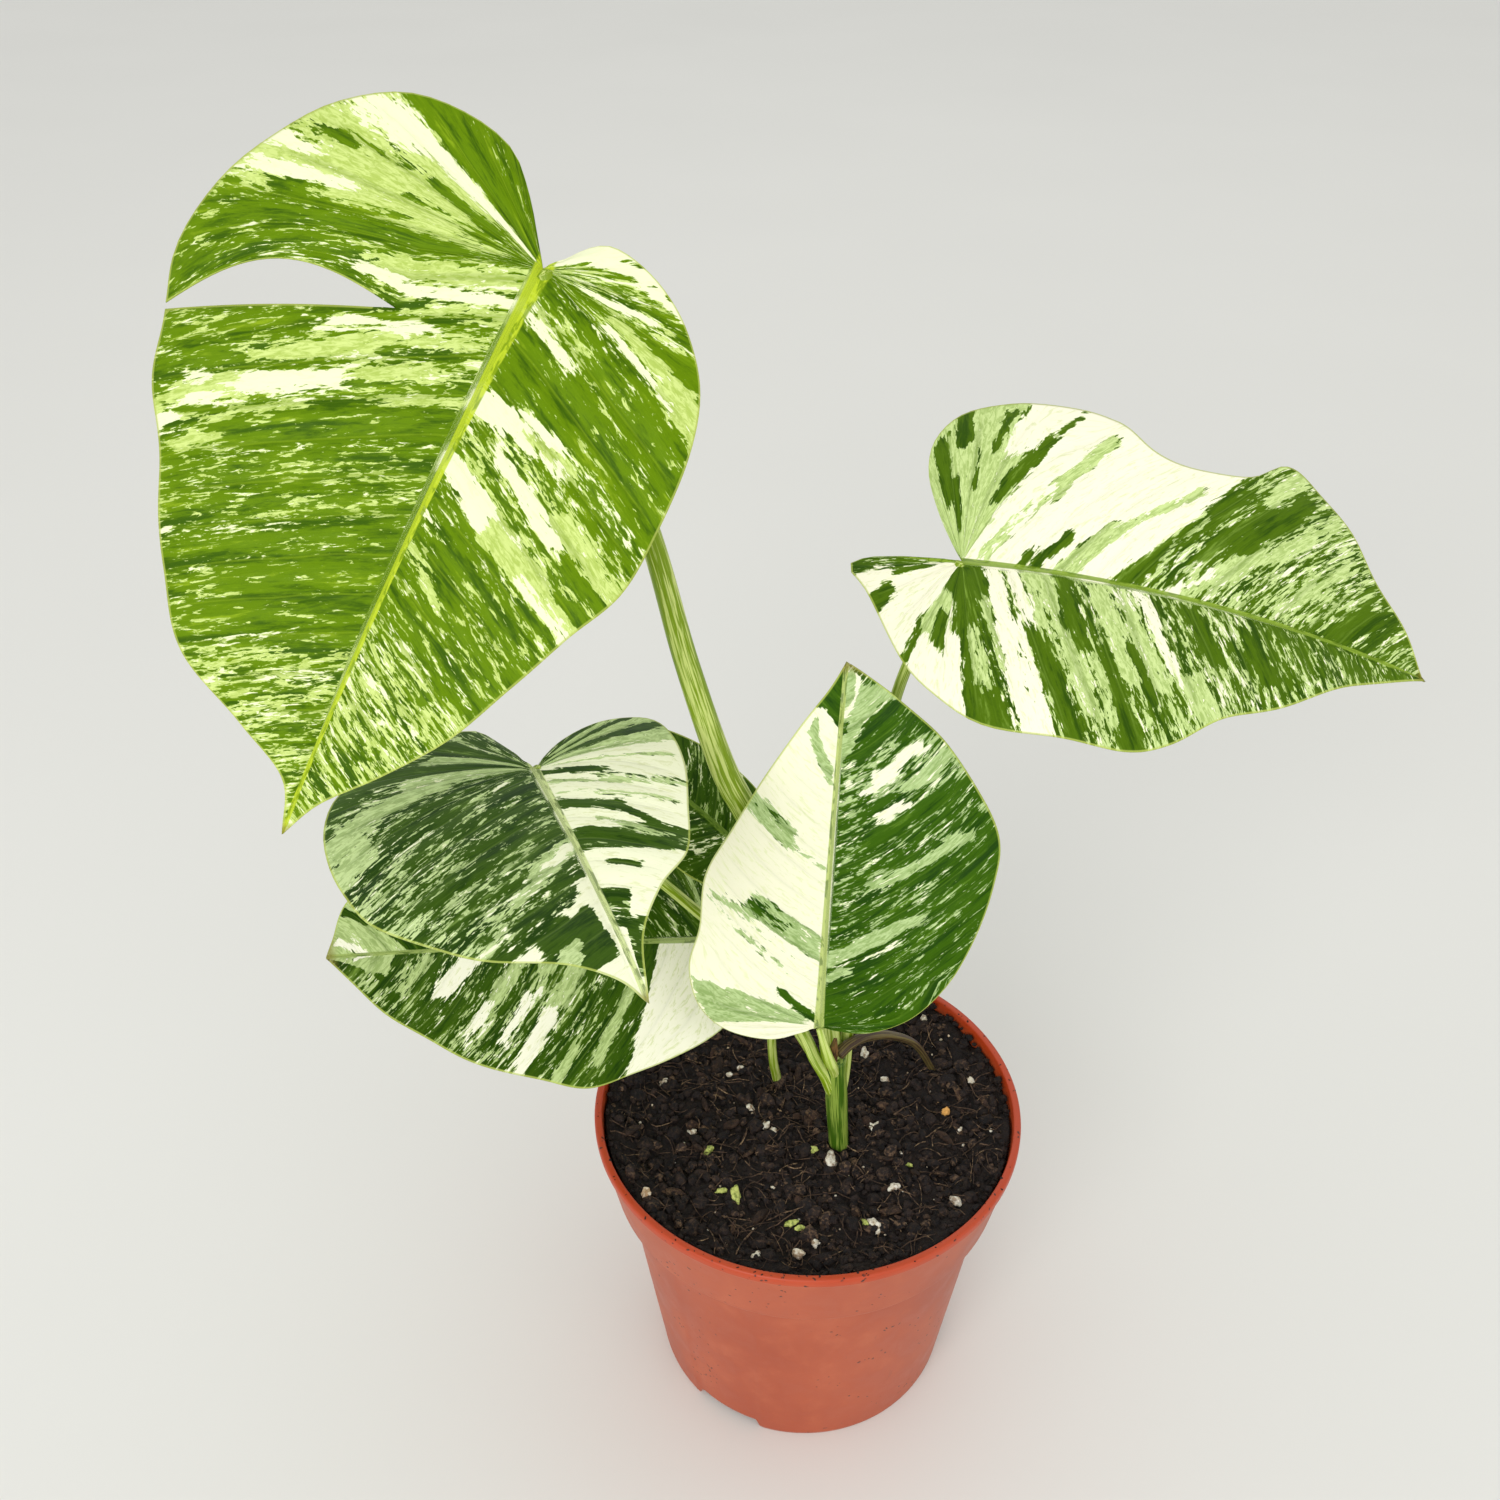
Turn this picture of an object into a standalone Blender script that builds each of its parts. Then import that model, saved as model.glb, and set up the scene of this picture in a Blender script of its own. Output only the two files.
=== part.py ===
"""Potted monstera: a thin plastic nursery pot of soil, one short stem, six leaf stalks and six leaves.

Metres, +Z up. The origin is the middle of the pot's underside; the plant's front faces -Y.
"""

import bpy
import numpy as np

# Pot
POT_HEIGHT = 0.102
RIM_RADIUS = 0.065
COLLAR_BOTTOM_Z = 0.078
COLLAR_BOTTOM_RADIUS = 0.0602
WALL_TOP_RADIUS = 0.0568
BASE_RADIUS = 0.047
WALL = 0.0016
GROOVE_HEIGHT = 0.004
POT_SIDES = 72
NOTCH_HEIGHT = 0.0032
NOTCH_ANGLES = (-122.0, -2.0, 118.0)
NOTCH_HALF_WIDTH = 12.5
DRAIN_RADIUS = 0.003
DRAIN_CIRCLE = 0.0395

# Soil
SOIL_TOP = 0.0960
SOIL_EDGE_Z = 0.0945
SOIL_SIDES = 48

# Plant
LEAF_THICKNESS = 0.001
STALK_STANDOFF = 0.005
STALK_SIDES = 10
FAN_ROWS = 5
BODY_ROWS = 11
RIB_COLUMNS = 5
RIB_SLOPE = 0.45
SLIT_ROW = 6
# Moves towards the petiole, as multiples of the slit's half width
SLIT_UPPER_SHIFT = 1.9
SLIT_LOWER_SHIFT = 0.1
SLIT_NEIGHBOUR_SHIFT = 0.9
SMOOTHING = 12

# Leaf outlines: millimetres along the midrib and out from it, from the stalk to the tip.
# Angles are radians. "left" is left of the midrib, looking from stalk to tip on the upper face.
LEAVES = {
    "leaf_upper_left": {
        "attach": (-0.060, -0.010, 0.358), "length": 0.132,
        "heading": -2.24, "pitch": -0.76, "roll": 0.50, "droop": 0.37, "lobe_droop": 0.25,
        "fold": (0.15, 0.15), "curl": (-0.35, -0.35),
        "left": ((-3, 2), (-9, 8), (-10, 14), (-7, 24), (-1, 33), (9, 41), (22, 45), (38, 46),
                 (53, 45), (66, 39), (80, 33), (95, 26), (109, 16), (122, 5)),
        "right": ((-4, 3), (-13, 10), (-20, 18), (-22, 30), (-20, 44), (-12, 57), (0, 65),
                  (14, 71), (30, 73), (46, 67), (58, 63), (72, 54), (90, 45), (104, 34),
                  (113, 17), (120, 4)),
        "slit": 0.33,
    },
    "leaf_right": {
        "attach": (0.037, 0.026, 0.273), "length": 0.122,
        "heading": -0.35, "pitch": 0.08, "roll": -0.50, "droop": 0.59, "lobe_droop": 0.25,
        "fold": (0.20, 0.15), "curl": (-0.35, -0.35),
        "left": ((-3, 4), (-9, 14), (-14, 26), (-14, 37), (-8, 47), (4, 52), (18, 52), (31, 49),
                 (42, 41), (55, 38), (67, 39), (76, 46), (86, 41), (101, 24)),
        "right": ((-10, 1), (-24, 1), (-29, 5), (-22, 13), (-8, 33), (3, 42), (15, 47),
                  (32, 47), (48, 47), (59, 42), (70, 32), (85, 23), (102, 10)),
    },
    "leaf_middle_left": {
        "attach": (-0.070, -0.020, 0.240), "length": 0.076,
        "heading": -1.14, "pitch": -0.02, "roll": 0.0, "droop": 0.31, "lobe_droop": 0.10,
        "fold": (0.20, 0.20), "curl": (-0.35, -0.35),
        "left": ((-3, 3), (-7, 10), (-10, 22), (-8, 33), (0, 36), (14, 34), (28, 29),
                 (42, 23), (50, 13), (60, 5)),
        "right": ((-3, 3), (-13, 5), (-20, 10), (-19, 20), (-16, 34), (-10, 46), (0, 52),
                  (12, 54), (24, 53), (37, 49), (49, 38), (57, 28), (63, 13), (69, 4)),
    },
    "leaf_front": {
        "attach": (0.002, -0.013, 0.146), "length": 0.109,
        "heading": 1.35, "pitch": 1.46, "roll": 0.0, "droop": 0.22, "lobe_droop": 0.20,
        "fold": (0.15, 0.15), "curl": (-0.30, -0.30),
        "left": ((-2, 4), (-6, 14), (-5, 27), (2, 35), (15, 38), (29, 35), (45, 34),
                 (60, 27), (76, 19), (90, 11), (101, 4)),
        "right": ((0, 5), (2, 15), (9, 26), (22, 35), (38, 41), (54, 44), (67, 44),
                  (80, 37), (92, 27), (101, 15), (106, 6)),
    },
    "leaf_lower_left": {
        "attach": (-0.029, 0.030, 0.141), "length": 0.116,
        "heading": -2.78, "pitch": 0.28, "roll": 0.38, "droop": 0.10, "lobe_droop": 0.10,
        "fold": (0.12, 0.12), "curl": (-0.30, -0.30),
        "left": ((-4, 4), (-7, 12), (-5, 21), (1, 28), (10, 34), (22, 39), (35, 43),
                 (48, 46), (60, 43), (73, 39), (86, 32), (100, 21), (110, 9)),
        "right": ((-4, 4), (-7, 12), (-5, 21), (2, 30), (14, 37), (30, 42), (46, 41),
                  (62, 38), (80, 32), (96, 25), (109, 17), (114, 5)),
    },
    "leaf_back": {
        "attach": (-0.022, 0.040, 0.171), "length": 0.056,
        "heading": 2.75, "pitch": 0.68, "roll": 0.30, "droop": 0.30, "lobe_droop": 0.10,
        "fold": (0.12, 0.12), "curl": (-0.30, -0.30),
        "left": ((-3, 3), (-6, 9), (-5, 15), (3, 19), (14, 20), (27, 18), (40, 14), (50, 8)),
        "right": ((-3, 3), (-6, 9), (-5, 15), (3, 19), (14, 20), (27, 18), (40, 14), (50, 8)),
    },
}

# Stalks: the leaf each one carries, its centre line up to that leaf, and radii at its two ends.
STALKS = {
    "stalk_upper_left": {
        "leaf": "leaf_upper_left", "radii": (0.0030, 0.0038, 0.0020),
        "path": ((0.0064, -0.0098, 0.1292), (0.0035, -0.002, 0.148), (-0.004, 0.006, 0.172),
                 (-0.0181, 0.009, 0.2044), (-0.025, 0.008, 0.2217), (-0.0337, 0.005, 0.2559),
                 (-0.0407, 0.0, 0.2917), (-0.0505, -0.005, 0.3281)),
    },
    "stalk_right": {
        "leaf": "leaf_right", "radii": (0.0020, 0.0018, 0.0015),
        "path": ((0.0108, -0.0062, 0.1270), (0.0125, 0.004, 0.157), (0.0160, 0.016, 0.1900),
                 (0.0224, 0.0235, 0.2352)),
    },
    "stalk_middle_left": {
        "leaf": "leaf_middle_left", "radii": (0.0020, 0.0018, 0.0014),
        "path": ((0.0012, -0.0105, 0.1245), (-0.0021, -0.0055, 0.1356), (-0.012, 0.003, 0.150),
                 (-0.0225, 0.009, 0.1590), (-0.0315, 0.012, 0.1660), (-0.0427, 0.006, 0.1837),
                 (-0.0571, -0.006, 0.209)),
    },
    "stalk_front": {
        "leaf": "leaf_front", "radii": (0.0012, 0.0010, 0.0009),
        "path": ((0.0066, -0.0168, 0.1250), (0.0048, -0.0166, 0.1340)),
        "standoff": 0.003,
    },
    "stalk_lower_left": {
        "leaf": "leaf_lower_left", "radii": (0.0016, 0.0014, 0.0012),
        "path": ((0.0040, -0.0060, 0.1200), (-0.004, 0.009, 0.124), (-0.015, 0.027, 0.129)),
    },
    "stalk_back": {
        "leaf": "leaf_back", "radii": (0.0013, 0.0012, 0.0010),
        "path": ((-0.0085, 0.0120, 0.0968), (-0.0105, 0.0100, 0.1102), (-0.0115, 0.015, 0.132),
                 (-0.0120, 0.030, 0.156)),
    },
}

MAIN_STEM_PATH = ((0.0090, -0.0115, 0.0964), (0.0082, -0.0112, 0.113), (0.0070, -0.0105, 0.1275))
MAIN_STEM_RADII = (0.0032, 0.0030, 0.0028)
ROOT_PATH = ((0.0108, -0.0108, 0.1350), (0.0164, -0.0050, 0.1345), (0.0244, 0.003, 0.1270),
             (0.0333, 0.011, 0.1150), (0.0410, 0.0195, 0.0974))
ROOT_RADII = (0.0014, 0.0014, 0.0011)
SHEATH_ROWS = ((0.0056, 0.1300, 0.0008), (0.0058, 0.1330, 0.0017), (0.0062, 0.1375, 0.0015),
               (0.0068, 0.1425, 0.0004))
SHEATH_Y = -0.0143
SHEATH_THICKNESS = 0.0006

COLOURS = {
    "terracotta_plastic": (0.55, 0.12, 0.06, 1.0),
    "soil_mix": (0.02, 0.013, 0.01, 1.0),
    "green_stalk": (0.12, 0.25, 0.05, 1.0),
    "variegated_blade": (0.08, 0.22, 0.04, 1.0),
    "brown_root": (0.10, 0.045, 0.015, 1.0),
    "dry_sheath": (0.22, 0.11, 0.05, 1.0),
}


def clear_scene():
    for obj in list(bpy.data.objects):
        bpy.data.objects.remove(obj, do_unlink=True)


def material(name, owner):
    made = bpy.data.materials.new(f"{name}__{owner}")
    made.use_nodes = True
    shader = made.node_tree.nodes["Principled BSDF"]
    shader.inputs["Base Color"].default_value = COLOURS[name]
    return made


def add_body(name, points, faces, colour):
    mesh = bpy.data.meshes.new(name)
    mesh.from_pydata([tuple(float(v) for v in p) for p in points], [], faces)
    mesh.validate()
    obj = bpy.data.objects.new(name, mesh)
    bpy.context.scene.collection.objects.link(obj)
    mesh.materials.append(material(colour, name))
    return obj


def unit(vector):
    return vector / np.linalg.norm(vector)


def smooth_path(points, steps):
    """Catmull-Rom curve through the points, with this many steps for each gap."""
    p = np.array(points, float)
    p = np.vstack([2 * p[0] - p[1], p, 2 * p[-1] - p[-2]])
    out = []
    for i in range(1, len(p) - 2):
        for t in np.arange(steps) / steps:
            a = 2 * p[i]
            b = (p[i + 1] - p[i - 1]) * t
            c = (2 * p[i - 1] - 5 * p[i] + 4 * p[i + 1] - p[i + 2]) * t**2
            d = (3 * p[i] - p[i - 1] - 3 * p[i + 1] + p[i + 2]) * t**3
            out.append(0.5 * (a + b + c + d))
    out.append(p[-2])
    return np.array(out)


def revolve(profile_at, sides):
    """Solid of revolution; profile_at(angle) gives (radius, z) pairs from axis to axis."""
    angles = 2 * np.pi * np.arange(sides) / sides
    points = []
    for angle in angles:
        for radius, z in profile_at(angle)[1:-1]:
            points.append((radius * np.cos(angle), radius * np.sin(angle), z))
    count = len(profile_at(0.0)) - 2
    first = len(points)
    points.append((0.0, 0.0, profile_at(0.0)[0][1]))
    points.append((0.0, 0.0, profile_at(0.0)[-1][1]))
    faces = []
    for i in range(sides):
        j = (i + 1) % sides
        for k in range(count - 1):
            faces.append((i * count + k, j * count + k, j * count + k + 1, i * count + k + 1))
        faces.append((first, j * count, i * count))
        faces.append((first + 1, i * count + count - 1, j * count + count - 1))
    return points, faces


def notch_lift(angle):
    """How far the foot ring is lifted at this angle: a sloped-end gap at each notch."""
    lift = 0.0
    for middle in NOTCH_ANGLES:
        away = abs((np.degrees(angle) - middle + 180.0) % 360.0 - 180.0)
        lift = max(lift, min(1.0, max(0.0, (NOTCH_HALF_WIDTH + 2.0 - away) / 4.0)))
    return lift * NOTCH_HEIGHT


def pot_profile(angle):
    foot = notch_lift(angle)
    groove = GROOVE_HEIGHT
    top = POT_HEIGHT
    inner_top = RIM_RADIUS - WALL - 0.0008
    return (
        (0.0, 0.0), (0.0335, 0.0), (0.0348, groove), (0.0438, groove), (0.0447, foot),
        (0.0465, foot), (BASE_RADIUS, foot + 0.001), (WALL_TOP_RADIUS, COLLAR_BOTTOM_Z - 0.0016),
        (COLLAR_BOTTOM_RADIUS, COLLAR_BOTTOM_Z), (RIM_RADIUS - 0.001, top - 0.0035),
        (RIM_RADIUS, top - 0.0026), (RIM_RADIUS, top - 0.0008), (RIM_RADIUS - 0.0006, top),
        (inner_top + 0.0006, top), (inner_top, top - 0.0008), (0.0624, top - 0.0035),
        (0.0588, 0.0794), (0.0552, 0.0776), (0.0456, 0.0070), (0.0450, groove + WALL),
        (0.0342, groove + WALL), (0.0329, WALL), (0.0, WALL),
    )


def soil_profile(_angle):
    return (
        (0.0, 0.0022), (0.0318, 0.0022), (0.0334, 0.0062), (0.0443, 0.0062), (0.0450, 0.0078),
        (0.0543, 0.0778), (0.0580, 0.0802), (0.0611, SOIL_EDGE_Z), (0.052, SOIL_TOP - 0.0004),
        (0.044, SOIL_TOP), (0.0, SOIL_TOP),
    )


def build_pot():
    points, faces = revolve(pot_profile, POT_SIDES)
    pot = add_body("nursery_pot", points, faces, "terracotta_plastic")
    for number, angle in enumerate(np.radians(NOTCH_ANGLES)):
        x = DRAIN_CIRCLE * np.cos(angle)
        y = DRAIN_CIRCLE * np.sin(angle)
        cutter = drain_cutter(f"drain_cutter_{number}", x, y)
        cut = pot.modifiers.new(cutter.name, "BOOLEAN")
        cut.operation = "DIFFERENCE"
        cut.solver = "EXACT"
        cut.object = cutter
    bpy.context.view_layer.update()
    cut_mesh = bpy.data.meshes.new_from_object(pot.evaluated_get(bpy.context.evaluated_depsgraph_get()))
    pot.modifiers.clear()
    pot.data = cut_mesh
    pot.data.name = "nursery_pot"
    for obj in list(bpy.data.objects):
        if obj.name.startswith("drain_cutter"):
            bpy.data.objects.remove(obj, do_unlink=True)


def drain_cutter(name, x, y):
    path = np.array([(x, y, GROOVE_HEIGHT - 0.002), (x, y, GROOVE_HEIGHT + WALL + 0.002)])
    points, faces = tube(path, np.full(2, DRAIN_RADIUS), 16)
    return add_body(name, points, faces, "terracotta_plastic")


def tube(path, radii, sides):
    """Closed tube along a path, with a frame carried along it without twist."""
    ahead = np.gradient(path, axis=0)
    ahead = ahead / np.linalg.norm(ahead, axis=1)[:, None]
    side = unit(np.cross(ahead[0], (0.31, 0.95, 0.05)))
    points = []
    for i in range(len(path)):
        side = unit(side - ahead[i] * (side @ ahead[i]))
        other = np.cross(ahead[i], side)
        for k in range(sides):
            angle = 2 * np.pi * k / sides
            points.append(path[i] + radii[i] * (np.cos(angle) * side + np.sin(angle) * other))
    faces = []
    for i in range(len(path) - 1):
        for k in range(sides):
            n = (k + 1) % sides
            faces.append((i * sides + k, i * sides + n, (i + 1) * sides + n, (i + 1) * sides + k))
    last = (len(path) - 1) * sides
    faces.append(tuple(range(sides))[::-1])
    faces.append(tuple(last + k for k in range(sides)))
    return points, faces


def taper(count, radii):
    return np.interp(np.linspace(0.0, 1.0, count), np.linspace(0.0, 1.0, len(radii)), radii)


def build_tube(name, path, radii, colour):
    line = smooth_path(path, 3)
    points, faces = tube(line, taper(len(line), radii), STALK_SIDES)
    add_body(name, points, faces, colour)


def build_stalk(name, spec):
    attach = np.array(LEAVES[spec["leaf"]]["attach"])
    before = np.array(spec["path"][-1])
    end = attach - spec.get("standoff", STALK_STANDOFF) * unit(attach - before)
    build_tube(name, spec["path"] + (tuple(end),), spec["radii"], "green_stalk")


def build_sheath():
    points = []
    for x, z, half in SHEATH_ROWS:
        for dx, dy in ((-half, 0.0), (0.0, -0.0003), (half, 0.0)):
            points.append((x + dx, SHEATH_Y + dy, z))
        for dx, dy in ((half, 0.0), (0.0, -0.0003), (-half, 0.0)):
            points.append((x + dx, SHEATH_Y + dy + SHEATH_THICKNESS, z))
    faces = []
    for row in range(len(SHEATH_ROWS) - 1):
        for k in range(6):
            n = (k + 1) % 6
            a = row * 6
            faces.append((a + k, a + n, a + 6 + n, a + 6 + k))
    last = (len(SHEATH_ROWS) - 1) * 6
    faces.append(tuple(range(6))[::-1])
    faces.append(tuple(last + k for k in range(6)))
    add_body("papery_sheath", points, faces, "dry_sheath")


def leaf_point(leaf, s, w):
    """Place the flat leaf point (s along the midrib, w to its left) in space, with its normal."""
    heading, pitch, roll = leaf["heading"], leaf["pitch"], leaf["roll"]
    length = leaf["length"]
    along = np.array((np.cos(heading) * np.cos(pitch), np.sin(heading) * np.cos(pitch), np.sin(pitch)))
    flat = np.array((-np.cos(heading) * np.sin(pitch), -np.sin(heading) * np.sin(pitch), np.cos(pitch)))
    normal = flat * np.cos(roll) + np.cross(flat, along) * np.sin(roll)
    across = np.cross(normal, along)
    ahead = max(s, 0.0)
    behind = min(s, 0.0)
    turn = leaf["droop"] * ahead / length
    radius = length / leaf["droop"]
    lobe = -leaf["lobe_droop"] * behind / length
    x = radius * np.sin(turn) + behind * np.cos(lobe / 2)
    drop = -radius * (1 - np.cos(turn)) + behind * np.sin(lobe / 2)
    bent = turn - lobe
    up = np.sin(bent) * along + np.cos(bent) * normal
    side = 0 if w >= 0 else 1
    fold, curl = leaf["fold"][side], leaf["curl"][side]
    half = 0.5 * length
    angle = fold + curl * abs(w) / half
    out = (np.sin(angle) - np.sin(fold)) / curl * half
    rise = (np.cos(fold) - np.cos(angle)) / curl * half
    sign = 1.0 if w >= 0 else -1.0
    point = np.array(leaf["attach"]) + x * along + drop * normal + sign * out * across + rise * up
    face = np.cos(angle) * up - sign * np.sin(angle) * across
    return point, face


def half_rows(leaf, side):
    """Ribs of one half: pairs of midrib point and margin point, in flat leaf coordinates."""
    length = leaf["length"]
    marks = [(0.0, 0.0)] + [(a / 1000, b / 1000) for a, b in leaf[side]] + [(length, 0.0)]
    margin = smooth_path(marks, SMOOTHING)
    margin[:, 1] = np.maximum(margin[:, 1], 0.0)
    start = margin[:, 0] - RIB_SLOPE * margin[:, 1]
    fan_end = max(i for i in range(len(start)) if start[i] <= 0.0)
    gaps = np.linalg.norm(np.diff(margin[: fan_end + 1], axis=0), axis=1)
    walked = np.concatenate([[0.0], np.cumsum(gaps)])
    rows = []
    for share in np.linspace(0.0, 1.0, FAN_ROWS + 2)[1:]:
        s = np.interp(share * walked[-1], walked, margin[: fan_end + 1, 0])
        w = np.interp(share * walked[-1], walked, margin[: fan_end + 1, 1])
        rows.append((0.0, s, w))
    body = start[fan_end:]
    body[0] = 0.0
    body = np.maximum.accumulate(body)
    for share in np.linspace(0.0, 1.0, BODY_ROWS + 2)[1:-1]:
        at = share * length
        s = np.interp(at, body, margin[fan_end:, 0])
        w = np.interp(at, body, margin[fan_end:, 1])
        rows.append((at, s, w))
    return rows


def slit_shape(share):
    """Half width of the slit along its rib, 0 at its inner end, in metres."""
    if share <= 0.0:
        return 0.0
    return 0.0052 * np.sin(np.pi * min(1.0, share * 0.97)) + 0.0003 * share


def build_leaf(name, leaf):
    flat = [(0.0, 0.0)]
    faces = []
    midrib = {0.0: 0}

    def midrib_index(s):
        key = round(float(s), 6)
        if key not in midrib:
            midrib[key] = len(flat)
            flat.append((key, 0.0))
        return midrib[key]

    tip = midrib_index(leaf["length"])
    for side, sign in (("left", 1.0), ("right", -1.0)):
        rows = half_rows(leaf, side)
        slit_start = leaf.get("slit") if side == "right" else None
        strips = []
        for at, s, w in rows:
            row = [midrib_index(at)]
            for k in range(1, RIB_COLUMNS + 1):
                v = k / RIB_COLUMNS
                row.append(len(flat))
                flat.append((at + (s - at) * v, sign * w * v))
            strips.append((row, row))
        if slit_start is not None:
            open_slit(flat, strips, SLIT_ROW, slit_start)
        for near, far in zip(strips, strips[1:]):
            join_rows(faces, near[1], far[0], sign)
        last = strips[-1][1]
        for k in range(RIB_COLUMNS):
            add_face(faces, (last[k], last[k + 1], tip), sign)
    close_leaf(name, leaf, flat, faces)


def open_slit(flat, strips, index, start):
    """Double one rib beyond the slit's inner end and draw its upper bank towards the petiole."""
    row = strips[index][0]
    above = strips[index - 1][0]
    root = np.array(flat[row[0]])
    end = np.array(flat[row[-1]])
    along = unit(end - root)
    aside = np.array((-along[1], along[0]))
    if aside[0] < 0:
        aside = -aside
    upper = [row[0]]
    lower = [row[0]]
    for k in range(1, len(row)):
        v = k / RIB_COLUMNS
        gap = slit_shape((v - start) / (1.0 - start))
        middle = np.array(flat[row[k]])
        if gap == 0.0:
            upper.append(row[k])
            lower.append(row[k])
            continue
        flat[above[k]] = tuple(np.array(flat[above[k]]) - SLIT_NEIGHBOUR_SHIFT * gap * aside)
        flat[row[k]] = tuple(middle - SLIT_UPPER_SHIFT * gap * aside)
        upper.append(row[k])
        lower.append(len(flat))
        flat.append(tuple(middle - SLIT_LOWER_SHIFT * gap * aside))
    strips[index] = (upper, lower)


def add_face(faces, corners, sign):
    kept = []
    for corner in corners:
        if corner not in kept:
            kept.append(corner)
    if len(kept) > 2:
        faces.append(tuple(kept if sign < 0 else kept[::-1]))


def join_rows(faces, near, far, sign):
    for k in range(len(near) - 1):
        add_face(faces, (near[k], near[k + 1], far[k + 1]), sign)
        add_face(faces, (near[k], far[k + 1], far[k]), sign)


def close_leaf(name, leaf, flat, faces):
    """Give the sheet its thickness: upper face, lower face and a wall along each open edge."""
    tops = []
    bottoms = []
    for s, w in flat:
        point, face = leaf_point(leaf, s, w)
        tops.append(point)
        bottoms.append(point - LEAF_THICKNESS * face)
    count = len(flat)
    edges = {(f[k], f[(k + 1) % len(f)]) for f in faces for k in range(len(f))}
    solid = list(faces)
    solid += [tuple(count + i for i in reversed(f)) for f in faces]
    solid += [(b, a, count + a, count + b) for a, b in sorted(edges) if (b, a) not in edges]
    add_body(name, tops + bottoms, solid, "variegated_blade")


def main():
    clear_scene()
    build_pot()
    points, faces = revolve(soil_profile, SOIL_SIDES)
    add_body("potting_soil", points, faces, "soil_mix")
    build_tube("main_stem", MAIN_STEM_PATH, MAIN_STEM_RADII, "green_stalk")
    build_tube("aerial_root", ROOT_PATH, ROOT_RADII, "brown_root")
    build_sheath()
    for name, spec in STALKS.items():
        build_stalk(name, spec)
    for name, leaf in LEAVES.items():
        build_leaf(name, leaf)


main()
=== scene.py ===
"""Potted variegated monstera: the detailed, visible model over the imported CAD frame."""

import math

import bmesh
import bpy
import numpy as np
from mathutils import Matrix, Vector


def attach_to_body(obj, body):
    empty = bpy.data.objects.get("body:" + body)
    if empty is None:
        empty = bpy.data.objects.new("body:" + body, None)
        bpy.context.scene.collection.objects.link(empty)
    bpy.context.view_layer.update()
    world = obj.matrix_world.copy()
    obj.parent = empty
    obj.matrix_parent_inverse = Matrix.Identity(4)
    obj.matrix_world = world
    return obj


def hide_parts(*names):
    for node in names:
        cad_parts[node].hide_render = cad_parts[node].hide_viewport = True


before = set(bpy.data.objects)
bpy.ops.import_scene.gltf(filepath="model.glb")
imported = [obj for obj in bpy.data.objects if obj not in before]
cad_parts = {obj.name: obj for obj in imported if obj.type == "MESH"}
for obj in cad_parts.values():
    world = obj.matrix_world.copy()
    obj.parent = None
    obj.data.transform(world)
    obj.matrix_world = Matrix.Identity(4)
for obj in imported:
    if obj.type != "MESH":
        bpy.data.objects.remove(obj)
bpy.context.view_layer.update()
RNG = np.random.default_rng(7)

# Dimensions repeated from the CAD model, in metres
POT_HEIGHT = 0.102
NOTCH_HEIGHT = 0.0032
NOTCH_ANGLES = (-122.0, -2.0, 118.0)
NOTCH_HALF_WIDTH = 12.5
DRAIN_RADIUS = 0.003
DRAIN_CIRCLE = 0.0395
SOIL_RADIUS = 0.0617
RIB_SLOPE = 0.45
BLADE = 0.0006
DRAIN_CUT = (0.002, 0.0078)
FLOOR_THICKNESS = 0.0016
GROOVE_HEIGHT = 0.004
PETIOLE_GAP = 0.0006
PETIOLE_SHRINK = 0.99

# The slit in the upper left leaf: the rib it follows, the share of the way out where it starts, its
# widths, how far its lips on the stalk's side and the tip's side and the ribs beside them are drawn
# aside as multiples of those widths, and the vein marks between which ribs give way to it
SLIT_RIB = 0.011
SLIT_START = 0.33
SLIT_WIDTH = 0.0052
SLIT_END_WIDTH = 0.0003
SLIT_PULLS = (1.9, 0.1)
SLIT_NEIGHBOUR_PULL = 0.9
SLIT_MARKS = (-5.0, 2000 * SLIT_RIB)

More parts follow.
